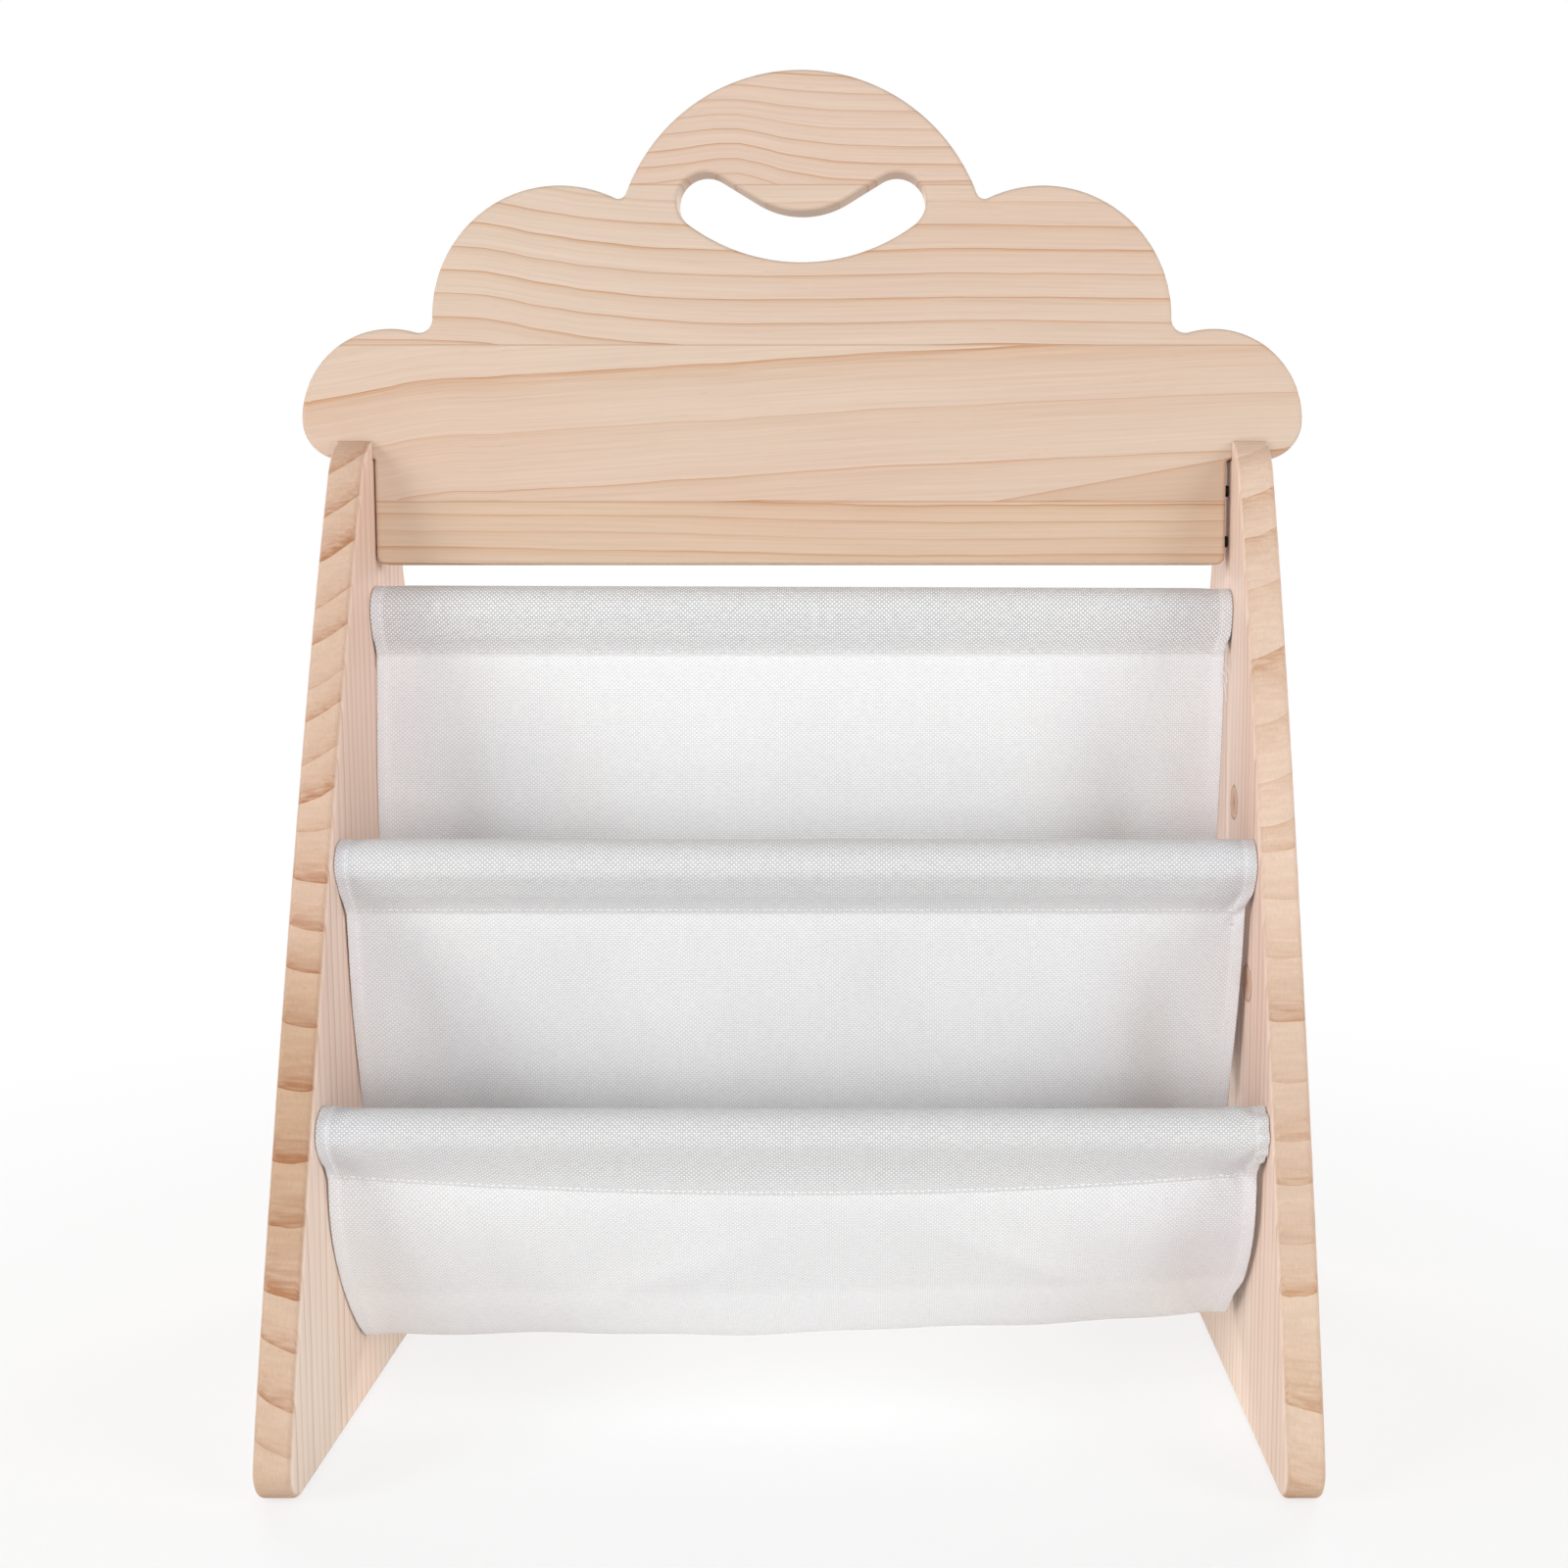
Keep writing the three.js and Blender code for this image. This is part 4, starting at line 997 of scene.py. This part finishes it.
rear_end = np.add(SEAMS["middle"], (2 * LAYER_PITCH, 0))
rear_casing = casing("top")
rear_down, rear_up = pocket(SEAMS["top"], REAR_BOTTOM, rear_end, -0.03, 0.24)
rear_seams = [(1, 1, 1, 0.3), (len(rear_casing) - 1, 1, -1, -0.35)]
rear_sheet, *rear_skins = canvas(
    "rear_sling",
    [rear_casing, rear_down, rear_up],
    rear_seams,
    ["top"],
    rear_end,
    SEAMS["top"],
    REAR_BOTTOM,
    0,
    0,
    0.7,
)
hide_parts("rear_canvas")

front_casing = casing("middle")
front_down, front_up = pocket(SEAMS["middle"], FRONT_BOTTOM, SEAMS["front"], 0.2, 0)
last_casing = casing("front")[::-1]
front_end = len(front_casing) + len(front_down) + len(front_up) - 1
front_seams = [
    (1, 1, 1, 0.3),
    (len(front_casing) - 1, 1, -1, -0.35),
    (front_end, -1, 1, -0.35),
    (front_end + len(last_casing) - 2, -1, -1, 0.3),
]
front_sheet, *front_skins = canvas(
    "front_sling",
    [front_casing, front_down, front_up, last_casing[1:]],
    front_seams,
    ["middle", "front"],
    SEAMS["front"],
    SEAMS["middle"],
    FRONT_BOTTOM,
    10.5,
    1,
    0,
)
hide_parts("front_canvas")


# Stitching. White cotton thread in short straight stitches, sunk a little into the canvas, along
# each seam under a dowel and along the hems, and three loose ends at the right of the top seam.

STITCH_LENGTH = 2.5
STITCH_PITCH = 3.3
THREAD_RADIUS = 0.3
THREAD_SIDES = 6
LOOSE_RINGS = 14

thread_white, tree, shader = new_material("thread_white")
here = step(tree, "ShaderNodeTexCoord").outputs["Object"]
twist = noise(tree, stretched(tree, here, (2600, 2600, 2600)), 1.0)
twist_tones = [(0.3, lit(226, 226, 227)), (0.7, lit(246, 246, 246))]
tree.links.new(ramp(tree, twist, twist_tones), shader.inputs["Base Color"])
tree.links.new(maths(tree, "MULTIPLY_ADD", twist, 0.2, 0.65), shader.inputs["Roughness"])


def on_sheet(skin, row, column):
    """Places between the grid points of a sheet: the mean of the four points round each, by
    its nearness to them."""
    r = np.clip(np.floor(row).astype(int), 0, skin.shape[0] - 2)
    c = np.clip(np.floor(column).astype(int), 0, skin.shape[1] - 2)
    v, u = (row - r)[:, None], (column - c)[:, None]
    above = skin[r, c] * (1 - u) + skin[r, c + 1] * u
    below = skin[r + 1, c] * (1 - u) + skin[r + 1, c + 1] * u
    return above * (1 - v) + below * v


def stitches(skin, other, begin, finish):
    """Short rods between places of a sheet: along the rod the radius swells from a third to
    full and back, round it the angle runs once about, and the middle stands off the cloth."""
    start, end = on_sheet(skin, *begin), on_sheet(skin, *finish)
    away = start - on_sheet(other, *begin)
    away /= np.linalg.norm(away, axis=1, keepdims=True)
    aside = np.cross(end - start, away)
    aside /= np.linalg.norm(aside, axis=1, keepdims=True)
    t = np.array((0.0, 0.16, 0.5, 0.84, 1.0))
    radius = THREAD_RADIUS * np.array((0.35, 0.9, 1.0, 0.9, 0.35))
    stand = np.array((-0.25, 0.08, 0.16, 0.08, -0.25))
    angle = np.linspace(0, 2 * math.pi, THREAD_SIDES, endpoint=False)
    middle = start[:, None] + (end - start)[:, None] * t[None, :, None]
    middle = middle + away[:, None] * stand[None, :, None]
    turn = angle[None, None, :, None]
    round_it = np.cos(turn) * away[:, None, None] + np.sin(turn) * aside[:, None, None]
    return middle[:, :, None] + radius[None, :, None, None] * round_it


def rod_faces(number, rings, sides):
    """Faces of many separate rods: the grid of one, its two ends, and the same again for each."""
    body = grid_faces(rings, sides, closed_columns=True)
    one = np.arange(sides)
    ends = [one[::-1], one + (rings - 1) * sides]
    offset = (np.arange(number) * rings * sides)[:, None, None]
    ends = [(end[None, None] + offset).reshape(-1, sides) for end in ends]
    return [(body[None] + offset).reshape(-1, 4)] + ends


def sew(name, parts, skins, seams):
    """Stitches of one sheet: a row across just above each seam, on both of its faces, and a row
    along each hem."""
    upper, lower, s, share = skins
    run = run_along(np.concatenate(parts))
    row_of = lambda place: np.interp(place, s, np.arange(len(s)))
    column_of = lambda x: np.interp(x / POCKET_HALF_WIDTH, share, np.arange(len(share)))
    half = STITCH_LENGTH / 2
    rods = []
    x = np.arange(2.5 - POCKET_HALF_WIDTH, POCKET_HALF_WIDTH - 2.0, STITCH_PITCH)
    for place, _, side, _ in seams:
        row = np.full(len(x), row_of(run[place] + 1.6 * side))
        for skin, other in ((upper, lower), (lower, upper)):
            rods.append(stitches(skin, other, (row, column_of(x - half)), (row, column_of(x + half))))
    along = np.arange(2.5, s[-1] - 2.0, STITCH_PITCH)
    for edge in (HEM_STITCH - POCKET_HALF_WIDTH, POCKET_HALF_WIDTH - HEM_STITCH):
        column = np.full(len(along), column_of(edge))
        for skin, other in ((upper, lower), (lower, upper)):
            begin, finish = (row_of(along - half), column), (row_of(along + half), column)
            rods.append(stitches(skin, other, begin, finish))
    rods = np.concatenate(rods)
    number, rings, sides = rods.shape[:3]
    return new_piece(name, rods.reshape(-1, 3), rod_faces(number, rings, sides), thread_white)


rear_stitching = sew("rear_stitching", [rear_casing, rear_down, rear_up], rear_skins, rear_seams)
front_stitching = sew(
    "front_stitching", [front_casing, front_down, front_up, last_casing[1:]], front_skins, front_seams
)


def loose_end(start, lean, length, curl):
    """A thread that leaves the hem: it runs along its lean and bends down by the square of the
    way, with a little curl across."""
    t = np.linspace(0, 1, LOOSE_RINGS)[:, None]
    lean = np.array(lean, float)
    middle = start + lean * length * t + np.array((0, 0, -0.35 * length)) * t**2
    middle = middle + np.array((0, -1, 0)) * curl * np.sin(math.pi * t)
    along = np.gradient(middle, axis=0)
    along /= np.linalg.norm(along, axis=1, keepdims=True)
    first = np.cross(along, (0, 1, 0))
    first /= np.linalg.norm(first, axis=1, keepdims=True)
    second = np.cross(first, along)
    angle = np.linspace(0, 2 * math.pi, THREAD_SIDES, endpoint=False)
    size = THREAD_RADIUS * (1 - 0.4 * t)
    turn = angle[None, :, None]
    ring = np.cos(turn) * first[:, None] + np.sin(turn) * second[:, None]
    return middle[:, None] + size[:, :, None] * ring


seam_run = np.linalg.norm(np.diff(rear_casing, axis=0), axis=1).sum()
hem_place = rear_skins[0][np.searchsorted(rear_skins[2], seam_run + 8), -1]
# Where each loose end leaves the hem, how it leans, how long it is and how much it curls
LOOSE_ENDS = (
    ((-1.2, -0.3, 4.0), (0.05, -0.93, 0.06), 16.0, 0.9),
    ((-1.2, -0.3, 1.0), (0.06, -0.95, -0.25), 12.0, 0.7),
    ((-1.2, -0.3, -2.5), (0.04, -0.8, -0.55), 14.0, 0.6),
)
threads = np.stack([loose_end(hem_place + start, *form) for start, *form in LOOSE_ENDS])
loose_threads = new_piece(
    "loose_threads",
    threads.reshape(-1, 3),
    rod_faces(len(LOOSE_ENDS), LOOSE_RINGS, THREAD_SIDES),
    thread_white,
)


# Bolts. Ten furniture bolts in blackened steel, each with a wide, flat domed head and a hexagon
# socket. They go in from outside, three into the dowels and two into the header on each side.
# The heads are lower than the frame's, so that none shows past the edge of a panel.

BOLT_FACE = 238.3
SHANK_RADIUS = 3.0
HEAD_RADIUS = 7.5
HEAD_RIM = 0.35
HEAD_HEIGHT = 1.3
SOCKET_FLOOR = 0.05
DOWEL_BOLT_LENGTH = 32.0
HEADER_BOLT_LENGTH = 56.0
BOLT_SIDES = 60


def speckled_steel(name, fineness, dark, pale, roughness, metallic):
    """Fine noise moves the colour between two tones, and adds to the first roughness by its
    share of the second."""
    material, tree, shader = new_material(name)
    here = step(tree, "ShaderNodeTexCoord").outputs["Object"]
    speck = noise(tree, stretched(tree, here, (fineness, fineness, fineness)), 3.0)
    tree.links.new(ramp(tree, speck, [(0.3, dark), (0.8, pale)]), shader.inputs["Base Color"])
    tree.links.new(maths(tree, "MULTIPLY_ADD", speck, roughness[1], roughness[0]), shader.inputs["Roughness"])
    shader.inputs["Metallic"].default_value = metallic
    return material


black_steel = speckled_steel(
    "black_steel", 900, (0.012, 0.012, 0.013, 1), (0.03, 0.03, 0.032, 1), (0.3, 0.25), 0.6
)


def bolt(length):
    """Rings round an axis: each has a place along it and a radius, and goes from a circle to a
    hexagon by its share, where the hexagon's radius is its inner one over the cosine of the
    angle from the middle of the nearest side."""
    dome = np.linspace(0, 1, 6)
    along = [-length, -length, 0.8 - length, -0.2, 0, 0, 0.12, HEAD_RIM]
    radius = [0.01, 2.2, SHANK_RADIUS, SHANK_RADIUS, 3.2, 7.3, HEAD_RADIUS, HEAD_RADIUS]
    along += (HEAD_RIM + (HEAD_HEIGHT - HEAD_RIM) * np.sin(dome[1:] * math.pi / 2)).tolist()
    radius += (HEAD_RADIUS - 3.6 * (1 - np.cos(dome[1:] * math.pi / 2))).tolist()
    hexagon = [0.0] * len(along)
    along += [HEAD_HEIGHT, HEAD_HEIGHT - 0.13, SOCKET_FLOOR + 0.1, SOCKET_FLOOR, SOCKET_FLOOR]
    radius += [2.2, 2.0, 2.0, 1.7, 0.01]
    hexagon += [1.0, 1.0, 1.0, 1.0, 1.0]
    angle = np.linspace(0, 2 * math.pi, BOLT_SIDES, endpoint=False)
    turn = (angle + math.pi / 6) % (math.pi / 3) - math.pi / 6
    sides = 1 / np.cos(turn)
    share = np.array(hexagon)[:, None]
    reach = np.array(radius)[:, None] * (1 - share + share * sides[None, :])
    place = np.array(along)[:, None] + 0 * reach
    return np.stack((place, reach * np.cos(angle), reach * np.sin(angle)), axis=-1)


places = [(f"{name}_dowel_bolt", y, z, DOWEL_BOLT_LENGTH) for name, (y, z) in DOWELS.items()]
for name, height in HEADER_BOLT_HEIGHTS.items():
    places.append((f"header_bolt_{name}", 0.0, height, HEADER_BOLT_LENGTH))
for side, word in ((-1, "left"), (1, "right")):
    for kind, y, z, length in places:
        rings = bolt(length) * (side, 1, side) + (side * BOLT_FACE, y, z)
        body = grid_faces(len(rings), BOLT_SIDES, closed_columns=True)[:, ::-1]
        tip = np.arange(BOLT_SIDES)[None, :]
        faces = [body, tip, tip[:, ::-1] + (len(rings) - 1) * BOLT_SIDES]
        name = f"{kind}_black_{word}"
        piece = new_piece(name, rings.reshape(-1, 3), faces, black_steel)
        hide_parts(f"{kind}_{word}")


# Sleeves and barrel nuts. Zinc-plated steel: threaded sleeves glued into the ends of the dowels,
# and barrel nuts in the header's back. The bolts run into them.

zinc_steel = speckled_steel("zinc_steel", 600, (0.55, 0.56, 0.57, 1), (0.7, 0.71, 0.72, 1), (0.22, 0.3), 1.0)
for name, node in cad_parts.items():
    if "sleeve" in name or "nut" in name:
        dress(node, zinc_steel)


# Studio. A pale floor that runs out of sight, soft even light and the camera of the photograph.

world = bpy.data.worlds.new("studio")
bpy.context.scene.world = world
world.use_nodes = True
tree = world.node_tree
sky = tree.nodes["Background"]
sky.inputs["Color"].default_value = (1, 1, 1, 1)
path = step(tree, "ShaderNodeLightPath").outputs
mirrored_ray = maths(tree, "MAXIMUM", path["Is Glossy Ray"], path["Is Transmission Ray"])
seen = maths(tree, "MAXIMUM", path["Is Camera Ray"], mirrored_ray)
tree.links.new(blend(tree, seen, 0.27, 1.0, kind="FLOAT"), sky.inputs["Strength"])

floor_paint, tree, shader = new_material("floor_paint")
shader.inputs["Base Color"].default_value = (0.93, 0.93, 0.93, 1)
shader.inputs["Roughness"].default_value = 0.9
shader.inputs["Specular IOR Level"].default_value = 0.1
plain = step(tree, "ShaderNodeEmission", (1, 1, 1, 1), 1.0)
path = step(tree, "ShaderNodeLightPath").outputs
here = step(tree, "ShaderNodeTexCoord").outputs["Object"]
away = step(tree, "ShaderNodeVectorMath", here, operation="LENGTH").outputs["Value"]
far = step(tree, "ShaderNodeMapRange", away, 0.25, 1.1, 0.72, 1.0, interpolation_type="SMOOTHSTEP").outputs[0]
mix = step(tree, "ShaderNodeMixShader", maths(tree, "MULTIPLY", path["Is Camera Ray"], far))
tree.links.new(shader.outputs[0], mix.inputs[1])
tree.links.new(plain.outputs[0], mix.inputs[2])
tree.links.new(mix.outputs[0], tree.nodes["Material Output"].inputs["Surface"])
floor_mesh = bpy.data.meshes.new("floor")
floor_mesh.from_pydata([(-6, -6, 0), (6, -6, 0), (6, 6, 0), (-6, 6, 0)], [], [(0, 1, 2, 3)])
floor_mesh.materials.append(floor_paint)
floor = bpy.data.objects.new("floor", floor_mesh)
bpy.context.scene.collection.objects.link(floor)


def lamp(name, place, target, size, power):
    light = bpy.data.lights.new(name, "AREA")
    light.shape = "DISK"
    light.size = size
    light.energy = power
    thing = bpy.data.objects.new(name, light)
    thing.location = place
    thing.rotation_euler = (Vector(target) - Vector(place)).to_track_quat("-Z", "Y").to_euler()
    bpy.context.scene.collection.objects.link(thing)


lamp("front", (0.0, -2.35, 1.1), (0, 0, 0.33), 1.2, 7.5)
lamp("left", (-2.0, -1.3, 1.0), (0, 0, 0.3), 1.4, 27)
lamp("right", (2.0, -1.3, 1.0), (0, 0, 0.3), 1.4, 20.5)
lamp("low", (0.0, -1.9, 0.25), (0, 0, 0.4), 0.8, 8)
lamp("back_left", (-1.5, 2.0, 1.3), (0, 0, 0.3), 1.4, 26)
lamp("back_right", (1.5, 2.0, 1.3), (0, 0, 0.3), 1.4, 26)

camera_data = bpy.data.cameras.new("camera")
camera_data.sensor_width = 36
camera_data.lens = 42.215
camera_data.shift_x = -0.06553
camera_data.shift_y = -0.01023
camera_data.clip_start = 0.01
camera_data.clip_end = 50
camera = bpy.data.objects.new("camera", camera_data)
camera.location = (0.04329, -0.9610, 0.39806)
camera.rotation_euler = (math.pi / 2 - 0.0861, 0, 0)
bpy.context.scene.collection.objects.link(camera)
bpy.context.scene.camera = camera
bpy.context.scene.view_settings.view_transform = "Standard"
